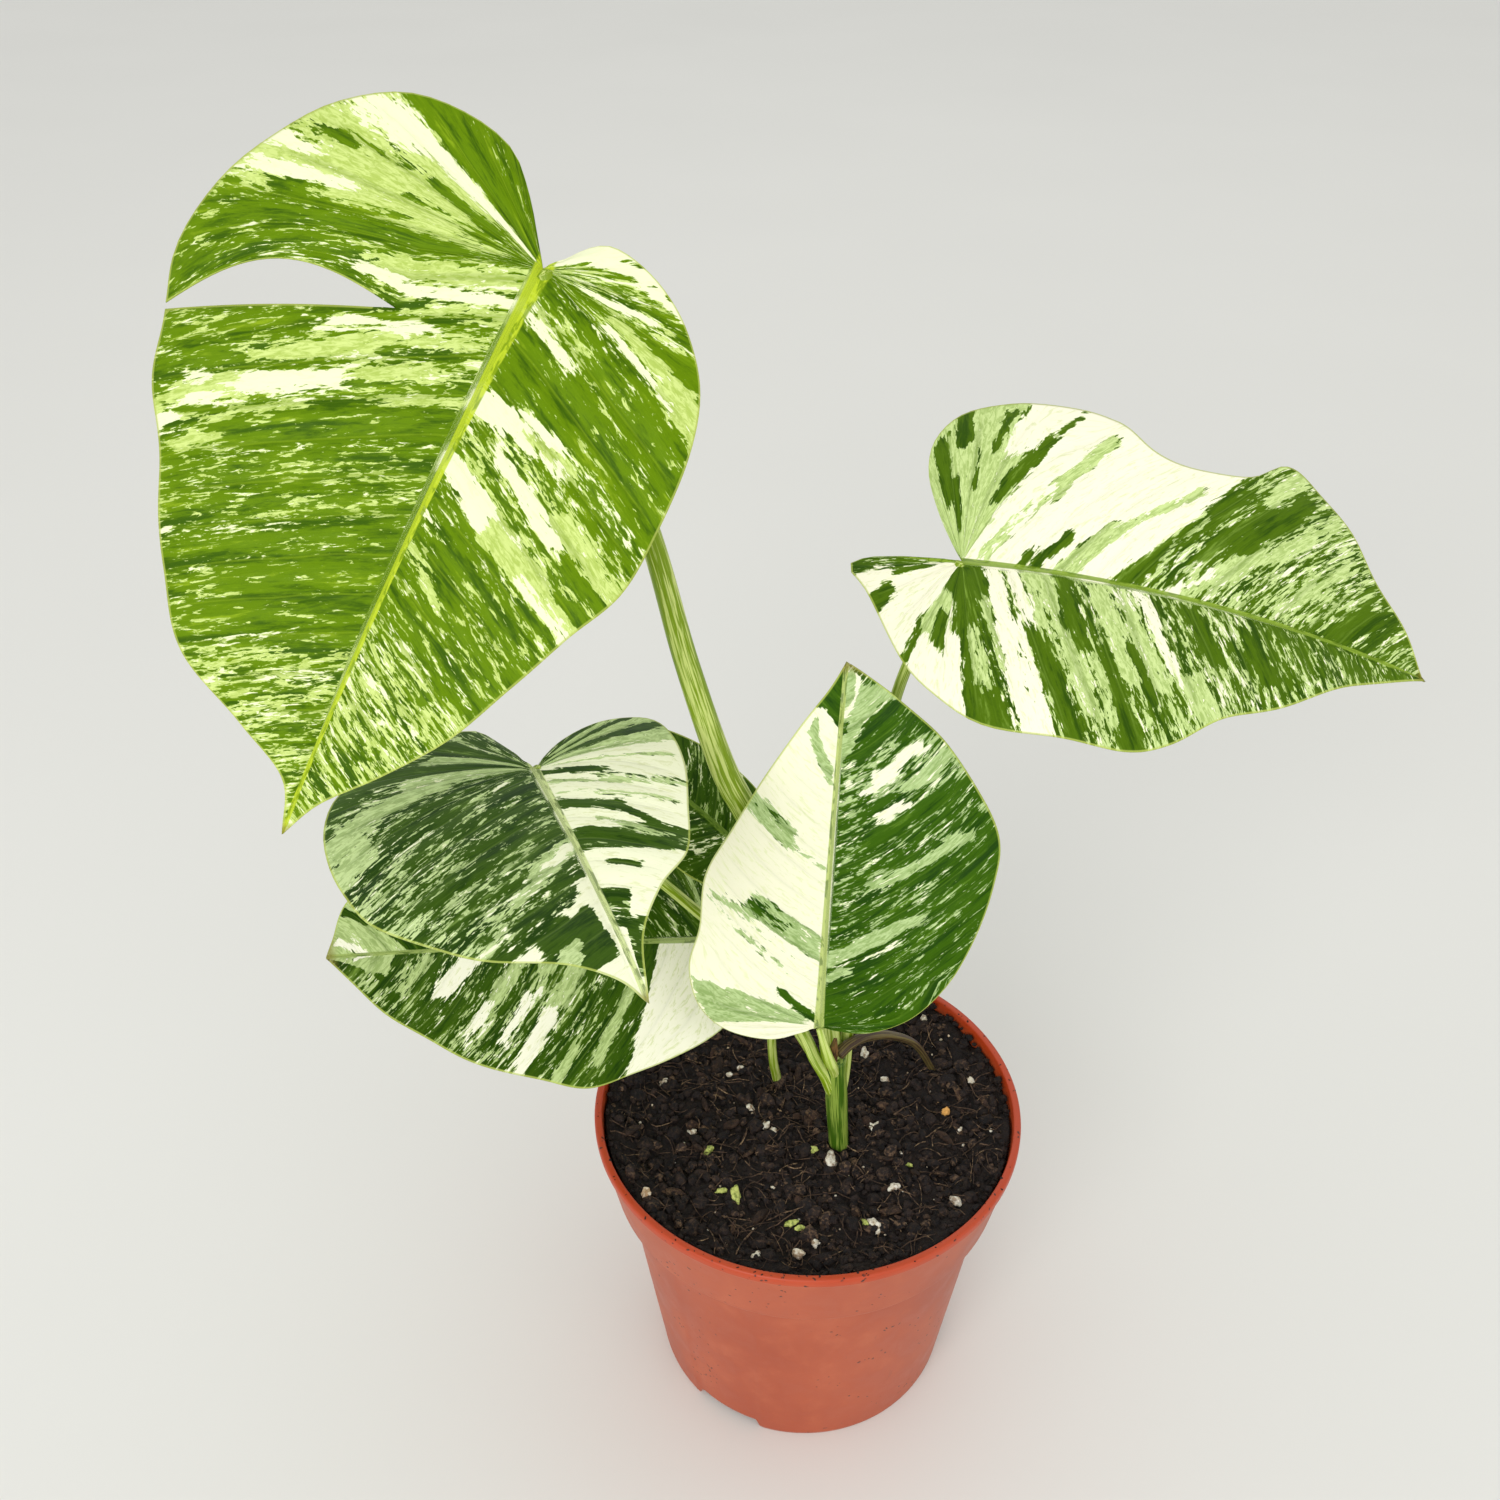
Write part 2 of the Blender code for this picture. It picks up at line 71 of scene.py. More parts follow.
LEAVES = {
    "leaf_upper_left": {
        "attach": (-0.060, -0.010, 0.358), "length": 0.132,
        "heading": -2.24, "pitch": -0.76, "roll": 0.50, "droop": 0.37, "lobe_droop": 0.25,
        "fold": (0.15, 0.15), "curl": (-0.35, -0.35),
        "lean": (0.05, 0.10), "vein_gap": 9.0, "midrib": (2.2, 0.4), "quilt": 0.0009, "wave": 0.0006,
        "gloss": 0.50, "shine": 0.07, "base": (0.10, 0.14),
        "colors": ((56, 90, 0), (96, 130, 0), (138, 168, 26),
                   (204, 222, 132), (234, 238, 198), (186, 206, 44)),
        "left": ((-3, 2), (-9, 8), (-10, 14), (-7, 24), (-1, 33), (9, 41), (22, 45), (38, 46),
                 (53, 45), (66, 39), (80, 33), (95, 26), (109, 16), (122, 5)),
        "right": ((-4, 3), (-13, 10), (-20, 18), (-22, 30), (-20, 44), (-12, 57), (0, 65),
                  (14, 71), (30, 73), (46, 67), (58, 63), (72, 54), (90, 45), (104, 34),
                  (113, 17), (120, 4)),
        "slit": True,
    },
    "leaf_right": {
        "attach": (0.037, 0.026, 0.273), "length": 0.122,
        "heading": -0.35, "pitch": 0.08, "roll": -0.50, "droop": 0.59, "lobe_droop": 0.25,
        "fold": (0.20, 0.15), "curl": (-0.35, -0.35),
        "lean": (0.30, 0.05), "vein_gap": 9.0, "midrib": (1.0, 0.5), "quilt": 0.0006, "wave": 0.0007,
        "gloss": 0.46, "shine": 0.08, "base": (0.12, 0.16),
        "colors": ((46, 78, 0), (76, 108, 4), (126, 158, 56),
                   (206, 226, 150), (250, 247, 220), (136, 164, 52)),
        "left": ((-3, 4), (-9, 14), (-14, 26), (-14, 37), (-8, 47), (4, 52), (18, 52), (31, 49),
                 (42, 41), (55, 38), (67, 39), (76, 46), (86, 41), (101, 24)),
        "right": ((-10, 1), (-24, 1), (-29, 5), (-22, 13), (-8, 33), (3, 42), (15, 47),
                  (32, 47), (48, 47), (59, 42), (70, 32), (85, 23), (102, 10)),
    },
    "leaf_middle_left": {
        "attach": (-0.070, -0.020, 0.240), "length": 0.076,
        "heading": -1.14, "pitch": -0.02, "roll": 0.0, "droop": 0.31, "lobe_droop": 0.10,
        "fold": (0.20, 0.20), "curl": (-0.35, -0.35),
        "lean": (0.25, 0.0), "vein_gap": 7.5, "midrib": (1.1, 0.6), "quilt": 0.0004, "wave": 0.0004,
        "gloss": 0.36, "shine": 0.12, "base": (0.10, 0.14),
        "colors": ((30, 60, 2), (56, 86, 12), (112, 142, 62),
                   (200, 220, 154), (248, 250, 216), (208, 222, 150)),
        "left": ((-3, 3), (-7, 10), (-10, 22), (-8, 33), (0, 36), (14, 34), (28, 29),
                 (42, 23), (50, 13), (60, 5)),
        "right": ((-3, 3), (-13, 5), (-20, 10), (-19, 20), (-16, 34), (-10, 46), (0, 52),
                  (12, 54), (24, 53), (37, 49), (49, 38), (57, 28), (63, 13), (69, 4)),
    },
    "leaf_front": {
        "attach": (0.002, -0.013, 0.146), "length": 0.109,
        "heading": 1.35, "pitch": 1.46, "roll": 0.0, "droop": 0.22, "lobe_droop": 0.20,
        "fold": (0.15, 0.15), "curl": (-0.30, -0.30),
        "lean": (0.35, 0.45), "vein_gap": 8.0, "midrib": (1.5, 0.6), "quilt": 0.0004, "wave": 0.0004,
        "gloss": 0.46, "shine": 0.08, "base": (0.10, 0.12),
        "colors": ((28, 64, 0), (54, 92, 0), (98, 136, 36),
                   (184, 206, 144), (244, 243, 214), (182, 198, 110)),
        "left": ((-2, 4), (-6, 14), (-5, 27), (2, 35), (15, 38), (29, 35), (45, 34),
                 (60, 27), (76, 19), (90, 11), (101, 4)),
        "right": ((0, 5), (2, 15), (9, 26), (22, 35), (38, 41), (54, 44), (67, 44),
                  (80, 37), (92, 27), (101, 15), (106, 6)),
    },
    "leaf_lower_left": {
        "attach": (-0.029, 0.030, 0.141), "length": 0.116,
        "heading": -2.78, "pitch": 0.28, "roll": 0.38, "droop": 0.10, "lobe_droop": 0.10,
        "fold": (0.12, 0.12), "curl": (-0.30, -0.30),
        "lean": (0.30, 0.30), "vein_gap": 8.0, "midrib": (1.2, 0.6), "quilt": 0.0004, "wave": 0.0005,
        "gloss": 0.46, "shine": 0.08, "base": (0.10, 0.12),
        # its cream is painted lighter than the blade's own, as painted light for the glow through the
        # thin blade on a patch that lies in shade
        "colors": ((28, 60, 0), (54, 86, 2), (112, 142, 52),
                   (194, 214, 144), (254, 253, 228), (160, 180, 98)),
        "left": ((-4, 4), (-7, 12), (-5, 21), (1, 28), (10, 34), (22, 39), (35, 43),
                 (48, 46), (60, 43), (73, 39), (86, 32), (100, 21), (110, 9)),
        "right": ((-4, 4), (-7, 12), (-5, 21), (2, 30), (14, 37), (30, 42), (46, 41),
                  (62, 38), (80, 32), (96, 25), (109, 17), (114, 5)),
    },
    "leaf_back": {
        "attach": (-0.022, 0.040, 0.171), "length": 0.056,
        "heading": 2.75, "pitch": 0.68, "roll": 0.30, "droop": 0.30, "lobe_droop": 0.10,
        "fold": (0.12, 0.12), "curl": (-0.30, -0.30),
        "lean": (0.20, 0.20), "vein_gap": 7.0, "midrib": (1.1, 0.5), "quilt": 0.0003, "wave": 0.0003,
        "gloss": 0.42, "shine": 0.08, "base": (0.04, 0.02),
        "colors": ((32, 62, 0), (54, 86, 4), (96, 126, 38),
                   (164, 188, 110), (236, 240, 200), (110, 138, 48)),
        "left": ((-3, 3), (-6, 9), (-5, 15), (3, 19), (14, 20), (27, 18), (40, 14), (50, 8)),
        "right": ((-3, 3), (-6, 9), (-5, 15), (3, 19), (14, 20), (27, 18), (40, 14), (50, 8)),
    },
}

STALKS = {
    "stalk_upper_left": {
        "leaf": "leaf_upper_left", "radii": (0.0030, 0.0038, 0.0020),
        "path": ((0.0072, -0.0104, 0.1230), (0.0064, -0.0098, 0.1292), (0.0035, -0.002, 0.148),
                 (-0.004, 0.006, 0.172), (-0.0181, 0.009, 0.2044), (-0.025, 0.008, 0.2217),
                 (-0.0337, 0.005, 0.2559), (-0.0407, 0.0, 0.2917), (-0.0505, -0.005, 0.3281)),
    },
    "stalk_right": {
        "leaf": "leaf_right", "radii": (0.0020, 0.0018, 0.0015),
        "path": ((0.0084, -0.0100, 0.1130), (0.0102, -0.0076, 0.1250), (0.0125, 0.004, 0.157),
                 (0.0160, 0.016, 0.1900), (0.0224, 0.0235, 0.2352)),
    },
    "stalk_middle_left": {
        "leaf": "leaf_middle_left", "radii": (0.0020, 0.0018, 0.0014),
        "path": ((0.0066, -0.0118, 0.1190), (0.0044, -0.0120, 0.1256), (0.0014, -0.0102, 0.1306),
                 (-0.0021, -0.0055, 0.1362), (-0.012, 0.003, 0.150),
                 (-0.0225, 0.009, 0.1590), (-0.0315, 0.012, 0.1660), (-0.0427, 0.006, 0.1837),
                 (-0.0571, -0.006, 0.209)),
    },
    "stalk_front": {
        "leaf": "leaf_front", "radii": (0.0014, 0.0016, 0.0010),
        "path": ((0.0072, -0.0122, 0.1262), (0.0064, -0.0146, 0.1312), (0.0050, -0.0160, 0.1366)),
    },
    "stalk_lower_left": {
        "leaf": "leaf_lower_left", "radii": (0.0016, 0.0014, 0.0012),
        "path": ((0.0074, -0.0100, 0.1130), (0.0052, -0.0070, 0.1180), (0.0035, -0.0045, 0.1205),
                 (-0.004, 0.009, 0.124), (-0.015, 0.027, 0.129)),
    },
    "stalk_back": {
        "leaf": "leaf_back", "radii": (0.0015, 0.0013, 0.0010),
        "path": ((-0.0090, 0.0140, 0.0968), (-0.0105, 0.0115, 0.1102), (-0.0115, 0.015, 0.132),
                 (-0.0120, 0.030, 0.156)),
    },
}

STEM = ((0.0094, -0.0115, 0.0950), (0.0082, -0.0112, 0.113), (0.0072, -0.0108, 0.1310))
ROOT = (
    (0.0080, -0.0116, 0.1338), (0.0112, -0.0090, 0.1350), (0.0164, -0.0046, 0.1338),
    (0.0244, 0.003, 0.1268), (0.0333, 0.011, 0.1150), (0.0410, 0.0195, 0.0950),
)


# ---------------------------------------------------------------- mesh helpers
def unit(v):
    return v / np.linalg.norm(v)


def polar(radius, angle, z):
    return radius * math.cos(angle), radius * math.sin(angle), z


def smooth_path(points, steps):
    """Catmull-Rom curve through the points."""
    p = np.array(points, float)
    p = np.vstack([2 * p[0] - p[1], p, 2 * p[-1] - p[-2]])
    out = []
    for i in range(1, len(p) - 2):
        for t in np.arange(steps) / steps:
            a = 2 * p[i]
            b = (p[i + 1] - p[i - 1]) * t
            c = (2 * p[i - 1] - 5 * p[i] + 4 * p[i + 1] - p[i + 2]) * t**2
            d = (3 * p[i] - p[i - 1] - 3 * p[i + 1] + p[i + 2]) * t**3
            out.append(0.5 * (a + b + c + d))
    out.append(p[-2])
    return np.array(out)


def make_object(name, points, faces, material, attributes=None, smooth=True):
    mesh = bpy.data.meshes.new(name)
    mesh.from_pydata(np.asarray(points, float).tolist(), [], faces)
    mesh.validate()
    if smooth:
        mesh.shade_smooth()
    for key, values in (attributes or {}).items():
        values = np.asarray(values, np.float32)
        if values.ndim == 2:
            layer = mesh.attributes.new(key, "FLOAT_VECTOR", "POINT")
            layer.data.foreach_set("vector", values.ravel())
        else:
            layer = mesh.attributes.new(key, "FLOAT", "POINT")
            layer.data.foreach_set("value", values)
    obj = bpy.data.objects.new(name, mesh)
    bpy.context.scene.collection.objects.link(obj)
    mesh.materials.append(material)
    return obj


def settle(obj, slot, *nodes):
    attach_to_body(obj, "root")
    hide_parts(*nodes)


def bump_noise(points, scale, seed):
    """Smooth value noise in [-1, 1] at each point."""
    p = np.asarray(points, float) * scale + np.array((seed * 7.31, seed * 3.77, seed * 5.13))
    base = np.floor(p).astype(int)
    f = p - base
    f = f * f * (3 - 2 * f)
    total = np.zeros(len(p))
    for corner in np.ndindex(2, 2, 2):
        c = base + corner
        h = (c[:, 0] * 73856093) ^ (c[:, 1] * 19349663) ^ (c[:, 2] * 83492791)
        h = (h * 1103515245 + 12345) & 0x7FFFFFFF
        value = (h % 10007) / 5003.5 - 1
        wx, wy, wz = (f[:, i] if corner[i] else 1 - f[:, i] for i in range(3))
        total += value * wx * wy * wz
    return total


# ---------------------------------------------------------------- node helpers
def linear(color):
    """Display values of 0 to 255 as linear light, with full opacity."""

    def light(v):
        return v / 3294.6 if v < 10.3 else ((v / 255 + 0.055) / 1.055) ** 2.4

    return tuple(light(v) for v in color) + (1.0,)


class Nodes:
    """Short names for building a material's node tree."""

    def __init__(self, name):
        self.material = bpy.data.materials.new(name)
        self.material.use_nodes = True
        self.tree = self.material.node_tree
        self.shader = self.tree.nodes["Principled BSDF"]

    def new(self, kind, **settings):
        node = self.tree.nodes.new(kind)
        for key, value in settings.items():
            setattr(node, key, value)
        return node

    def put(self, socket, value):
        if isinstance(value, bpy.types.NodeSocket):
            self.tree.links.new(value, socket)
        else:
            socket.default_value = value

    def math(self, op, a, b=0.0, c=0.0):
        node = self.new("ShaderNodeMath", operation=op)
        for i, v in enumerate((a, b, c)):
            self.put(node.inputs[i], v)
        return node.outputs[0]

    def times(self, a, b):
        return self.math("MULTIPLY", a, b)

    def plus(self, a, b):
        return self.math("ADD", a, b)

    def minus(self, a, b):
        return self.math("SUBTRACT", a, b)

    def vector(self, op, a, b):
        node = self.new("ShaderNodeVectorMath", operation=op)
        self.put(node.inputs[0], a)
        self.put(node.inputs[1], b)
        return node.outputs[0]

    def vmul(self, a, b):
        return self.vector("MULTIPLY", a, b)

    def vadd(self, a, b):
        return self.vector("ADD", a, b)

    def noise(self, vector, scale=1.0, detail=3.0, rough=0.5, distort=0.0, color=False):
        node = self.new("ShaderNodeTexNoise")
        names = ("Vector", "Scale", "Detail", "Roughness", "Distortion")
        for key, value in zip(names, (vector, scale, detail, rough, distort)):
            self.put(node.inputs[key], value)
        return node.outputs["Color" if color else "Fac"]

    def voronoi(self, vector, scale):
        node = self.new("ShaderNodeTexVoronoi")
        self.put(node.inputs["Vector"], vector)
        node.inputs["Scale"].default_value = scale
        return node.outputs["Distance"]

    def ramp(self, value, low, high, to_low=0.0, to_high=1.0):
        node = self.new("ShaderNodeMapRange", interpolation_type="SMOOTHSTEP")
        names = ("Value", "From Min", "From Max", "To Min", "To Max")
        for key, number in zip(names, (value, low, high, to_low, to_high)):
            self.put(node.inputs[key], number)
        return node.outputs[0]

    def mix(self, fac, a, b):
        node = self.new("ShaderNodeMix", data_type="RGBA")
        self.put(node.inputs[0], fac)
        for socket, color in ((6, a), (7, b)):
            self.put(node.inputs[socket], linear(color) if isinstance(color, tuple) else color)
        return node.outputs[2]

    def tint(self, color, value, low, high, amount, other):
        """Turns the colour towards another, by the amount once the value is past high."""
        return self.mix(self.times(self.ramp(value, low, high), amount), color, other)

    def attribute(self, name, out="Fac"):
        node = self.new("ShaderNodeAttribute", attribute_name=name)
        return node.outputs[out]

    def coords(self):
        return self.new("ShaderNodeTexCoord").outputs["Object"]

    def bump(self, height, strength, distance):
        node = self.new("ShaderNodeBump")
        for key, value in (("Strength", strength), ("Distance", distance), ("Height", height)):
            self.put(node.inputs[key], value)
        return node.outputs[0]

    def finish(self, color, rough, normal=None, **fixed):
        self.put(self.shader.inputs["Base Color"], color)
        self.put(self.shader.inputs["Roughness"], rough)
        if normal is not None:
            self.put(self.shader.inputs["Normal"], normal)
        for key, value in fixed.items():
            self.shader.inputs[key.replace("_", " ")].default_value = value
        return self.material


# ---------------------------------------------------------------- blades
# Wishes for cream and for sage under a stroke: cream, sage, green, calm green with a few flecks,
# mottled and densely mottled
C, S, G, K, M, D = (1.45, 0.4), (-0.05, 1.3), (-0.5, -0.4), (-0.15, 0.12), (-0.02, 0.28), (0.12, 0.48)
# Strokes of colour on each half of a leaf, laid over each other in this order: kind, vein mark and
# share of the way out where the stroke starts, the same where it ends, and half its width. A vein
# mark is in millimetres along the midrib. In the basal lobes, where the veins fan out from the
# stalk, it runs from 0 back to -30.
PAINT = {
    ("leaf_upper_left", "right"): (
        (G, -23.5, 0, -23.5, 1, 7.5), (M, -24, 0.1, -21, 0.9, 1.2), (S, -10.5, 0.2, -10.5, 1, 5.6),
        (M, -12, 0, -12, 0.2, 6), (C, -15.2, 0.12, -15, 0.9, 0.8), (C, -13.4, 0.72, -13.4, 0.96, 0.5),
        (C, -7.2, 0.72, -6.6, 0.9, 0.45), (C, -9.2, 0.9, -9, 1, 0.4),
        (G, -11.7, 0.64, -11.2, 0.8, 0.35), (G, -10.6, 0.86, -10.2, 0.98, 0.3),
        (G, -11.4, 0.26, -12.2, 0.42, 0.7), (G, -8.6, 0.32, -9.2, 0.44, 0.4),
        (G, -5.6, 0.5, -5.2, 0.72, 0.45), (G, -5.7, 0.8, -5.3, 0.92, 0.4), (M, -2.2, 0, -2, 1, 2.3),
        (G, -2.8, 0.3, -2.8, 0.75, 0.8), (D, 5, 0.03, 5, 0.36, 5), (S, 3.5, 0.12, 2, 0.36, 1.5),
        (C, 7.5, 0.28, 5.5, 0.4, 0.9), (C, 8.6, 0.05, 8, 0.12, 0.8), (M, 15, 0, 15, 1, 5),
        (C, 15.8, 0.28, 14.4, 0.42, 1), (S, 18.5, 0.14, 17.5, 0.32, 0.9), (S, 11.5, 0.1, 11, 0.2, 0.8),
        (D, 24.5, 0.05, 24, 0.45, 3), (S, 19.5, 0.42, 22.5, 0.64, 1.5),
        (S, 25.5, 0.22, 25.5, 0.44, 1.2), (C, 26.8, 0.46, 28.6, 0.82, 2.4),
        (G, 24.6, 0.5, 24.6, 0.64, 0.7), (S, 29.5, 0.78, 35.5, 1, 3.4), (C, 31.5, 0.84, 37.5, 1, 1.4),
        (G, 35.6, 0.74, 34.2, 0.88, 0.8), (K, 36, 0.08, 37, 0.6, 4), (S, 33, 0.55, 36.5, 0.8, 0.7),
        (S, 31.6, 0.06, 31, 0.24, 0.6), (S, 41, 0.86, 44.5, 1, 1.5), (M, 50, 0.08, 51, 1, 8),
        (K, 72, 0.08, 74, 0.8, 11), (M, 74, 0.86, 74, 1, 10), (D, 94, 0, 94, 1, 7),
        (D, 116, 0, 116, 1, 16),
    ),
    ("leaf_upper_left", "left"): (
        (D, -13, 0.1, -11, 0.85, 7), (C, -26.2, 0.1, -26.2, 1.05, 5.6),
        (C, -20, 0.62, -16.6, 1.05, 1.5), (C, -15, 0.9, -12.6, 1.05, 0.9),
        (C, -9.2, 0.33, -9.4, 0.52, 0.6), (C, -10.2, 0.58, -10, 0.7, 0.4), (M, -5.5, 0.1, -5, 1, 3),
        (S, -5.4, 0.52, -4, 0.72, 1.2), (G, -6.3, 0.76, -6, 0.96, 1), (C, -2.6, 0.48, -0.8, 0.9, 0.5),
        (S, -3, 0.82, -1.6, 1.02, 2), (K, 11, 0.1, 11, 1, 9.5), (D, 6, 0.05, 6, 0.3, 3),
        (C, 9, 0.08, 10, 0.28, 0.7), (D, 38, 0.05, 38, 1, 9), (C, 29.5, 0.03, 24.4, 0.44, 2.4),
        (S, 26.5, 0.3, 24, 0.5, 1.2), (C, 34.5, 0.3, 36.5, 0.62, 1.2), (S, 33, 0.68, 35, 0.95, 1.7),
        (C, 43.5, 0.03, 46, 0.42, 2.3), (S, 46, 0.42, 47, 1, 3), (C, 48, 0.7, 49, 0.98, 0.9),
        (G, 44, 0.86, 43.5, 0.95, 1.2), (G, 54, 0.86, 54, 0.96, 1.4), (G, 38, 0.8, 38, 0.95, 1.2),
        (M, 62, 0.45, 62, 1, 10), (K, 67, 0.04, 68, 0.45, 9), (S, 63, 0.08, 66, 0.3, 0.9),
        (D, 92, 0, 92, 1, 14), (D, 118, 0, 118, 1, 14),
    ),
    ("leaf_right", "left"): (
        (C, 14, 0, 22, 1.05, 26), (S, -18, 0, -18, 1, 12.2), (S, -5, 0.06, -5, 0.58, 4.8),
        (S, -7.6, 0.5, -8, 1, 1.6), (G, -15.6, 0.5, -15.4, 0.88, 1.5), (G, -13, 0.26, -13.4, 0.5, 1.1),
        (G, -11.6, 0.8, -11.6, 0.97, 1.1), (G, -7, 0.7, -6.6, 0.86, 0.5),
        (G, -9, 0.48, -8.6, 0.62, 0.4), (G, -2.7, 0.4, -1.3, 0.6, 1.3), (G, -0.9, 0.7, 0.6, 0.93, 0.9),
        (S, 4, 0.08, 9.5, 0.5, 2.3), (S, 9.5, 0.5, 13, 0.84, 2.2), (C, 6.5, 0.3, 8, 0.42, 0.5),
        (G, 18, 0.07, 21, 0.2, 1.7), (G, 23.5, 0.05, 25, 0.15, 0.8), (G, 14, 0.02, 14.5, 0.07, 0.9),
        (S, 26, 0.03, 30, 0.36, 3.2), (S, 31, 0.36, 41, 0.78, 1.8), (C, 33, 0.05, 35.5, 0.4, 1.6),
        (D, 50.5, 0, 65.5, 1, 14), (D, 84, 0, 86, 1, 21), (M, 110, 0, 110, 1, 16),
        (G, 41, 0.08, 50.5, 0.72, 2.2), (G, 60, 0.4, 66, 0.8, 2.4), (G, 53, 0.3, 58, 0.6, 2),
        (S, 44.5, 0.3, 47.5, 0.55, 0.7), (S, 55, 0.04, 62, 0.26, 2.4), (C, 53, 0.03, 57.5, 0.14, 1.1),
        (S, 62, 0.26, 70, 0.5, 1.8), (S, 58, 0.8, 60, 0.98, 1.2), (S, 71, 0.6, 75, 0.9, 1.2),
        (S, 81, 0.3, 85, 0.7, 1), (G, 95, 0.1, 99, 0.6, 2.4),
    ),
    ("leaf_right", "right"): (
        (C, -13, 0, -13, 1.05, 7), (M, -26, 0, -26, 1, 5.2), (S, -25, 0.3, -24, 0.95, 1),
        (G, -28, 0.3, -27.6, 0.95, 1.4), (G, -17, 0.8, -16, 1.02, 0.9),
        (G, -10.5, 0.66, -10, 0.98, 0.6), (G, -19, 0.3, -19, 0.6, 0.6), (C, -6, 0.62, -6, 1.05, 3),
        (S, -8, 0.26, -8.5, 0.62, 2.3), (G, -7.6, 0.5, -7, 0.66, 0.9), (G, -5.5, 0.05, -5, 0.22, 5.5),
        (G, -2.8, 0.24, -1, 1, 1.7), (S, -1.6, 0.5, -1.3, 0.75, 0.7), (D, 24, 0, 24, 1, 23),
        (G, 2, 0.02, 3, 0.16, 4), (C, 7.5, 0.1, 5, 0.5, 2.1), (C, 5, 0.5, 5.5, 1.05, 1.9),
        (S, 3, 0.3, 3, 0.6, 0.8), (C, 9.8, 0.45, 9.4, 1.05, 1.2), (C, 13, 0.08, 13, 0.3, 1.1),
        (S, 17, 0.1, 16, 0.35, 1), (G, 13.5, 0.5, 16, 0.98, 2.2), (S, 21, 0.45, 22, 0.75, 1.5),
        (S, 20.5, 0.04, 21, 0.2, 1.5), (G, 25, 0.08, 25, 0.4, 2), (G, 29, 0.55, 30, 0.95, 2),
        (S, 27, 0.55, 27, 0.8, 0.8), (S, 34, 0.12, 35, 0.55, 2), (S, 40, 0.2, 41, 0.62, 1.7),
        (G, 37, 0.48, 38, 0.66, 1.2), (C, 45, 0.12, 46, 0.55, 1.4), (D, 60, 0, 60, 1, 13),
        (S, 50, 0.72, 52, 0.98, 2.6), (G, 56, 0.15, 58, 0.5, 2), (M, 92, 0, 92, 1, 20),
        (D, 78, 0.85, 78, 1, 14), (G, 70, 0.3, 71, 0.7, 2),
    ),
    ("leaf_middle_left", "right"): (
        (M, 14, 0, 14, 0.8, 17), (M, -20, 0, -20, 1, 10), (S, -16, 0.12, -15, 0.6, 1),
        (G, -18.6, 0.1, -18.2, 0.9, 0.8), (M, -6, 0.1, -6, 1, 6), (S, -9.4, 0.12, -8.2, 0.56, 1.7),
        (S, -7, 0.5, -5.6, 0.86, 1.1), (G, -12.4, 0.2, -11.6, 0.9, 1.1),
        (S, -5, 0.86, -4.6, 0.98, 0.8), (S, -2, 0.88, -1.5, 1, 1.3), (C, 5, 0.4, 6.6, 0.58, 0.6),
        (M, 8, 0.4, 8, 0.8, 5), (D, 12, 0.8, 12, 1, 10), (D, 32, 0.6, 32, 1, 11),
        (M, 24, 0.4, 24, 0.8, 8), (S, 29.5, 0.04, 31.4, 0.26, 2.5), (C, 29.6, 0.07, 31.4, 0.18, 1),
        (S, 33, 0.26, 37, 0.6, 1.4), (M, 38, 0.2, 40, 0.6, 3), (G, 51.5, 0.12, 52.5, 0.64, 5.6),
        (C, 62, 0, 62, 0.08, 22), (C, 45, 0.2, 46, 0.3, 1.1), (C, 49.5, 0.9, 50, 1, 1.4),
        (S, 54, 0.6, 56.5, 0.96, 1.7), (G, 61, 0.4, 61, 0.95, 1.6), (C, 70, 0, 70, 1.05, 7.5),
    ),
    ("leaf_middle_left", "left"): (
        (C, 8, 0, 8, 1.05, 16), (M, -21, 0, -21, 1, 9.4), (S, -18, 0.3, -17, 0.9, 0.9),
        (G, -20.6, 0.2, -20, 0.95, 0.9), (S, -12.6, 0.1, -12, 1, 1.2),
        (G, -10.2, 0.36, -9.6, 0.95, 0.9), (G, -14.6, 0.2, -14.2, 0.9, 0.6), (S, -7, 0.1, -7, 1, 1.8),
        (G, 1.8, 0.02, 2.6, 0.42, 1.2), (S, 6, 0.1, 8.4, 0.95, 0.9), (S, -2.4, 0.1, -2, 0.9, 0.6),
        (D, 4.6, 0.4, 6.4, 0.9, 0.8), (S, 10.8, 0.1, 14, 0.95, 0.8), (D, 12, 0.4, 16, 0.85, 0.7),
        (G, 14.6, 0.02, 16.6, 0.45, 1.8), (G, 16.6, 0.45, 26, 0.86, 1.6),
        (C, 21.5, 0.03, 22.4, 0.32, 1.8), (S, 21, 0.32, 27.5, 0.8, 1.2), (M, 28, 0.08, 30.5, 0.9, 3),
        (G, 26.6, 0.14, 30.6, 0.78, 1.9), (C, 38.5, 0, 38.5, 1.05, 6), (M, 36, 0.3, 37, 0.55, 1.2),
        (D, 47.5, 0.1, 48, 0.55, 3), (G, 46, 0.08, 48, 0.3, 1.5), (C, 50, 0.62, 50, 1.05, 5),
        (M, 60, 0.35, 60, 1, 8), (G, 56, 0.4, 57, 0.7, 1.4), (C, 66, 0, 66, 0.32, 10),
        (C, 74, 0, 74, 1.05, 4),
    ),
    ("leaf_front", "left"): (
        (C, 40, 0, 40, 1.05, 80), (S, -3.2, 0.16, -7, 0.92, 5), (G, 2.4, 0.05, 5.2, 0.28, 1.6),
        (S, 25.5, 0.08, 29.5, 0.55, 4.4), (G, 28.6, 0.34, 29.6, 0.56, 0.6),
        (G, 26, 0.38, 27, 0.52, 0.6), (G, 31.6, 0.44, 31.6, 0.52, 0.4), (S, 25.5, 0.66, 25, 0.88, 1.4),
        (G, 27.6, 0.62, 28, 0.74, 0.4), (S, 15, 0.35, 21.5, 0.8, 0.6), (S, 13, 0.3, 18, 0.66, 0.4),
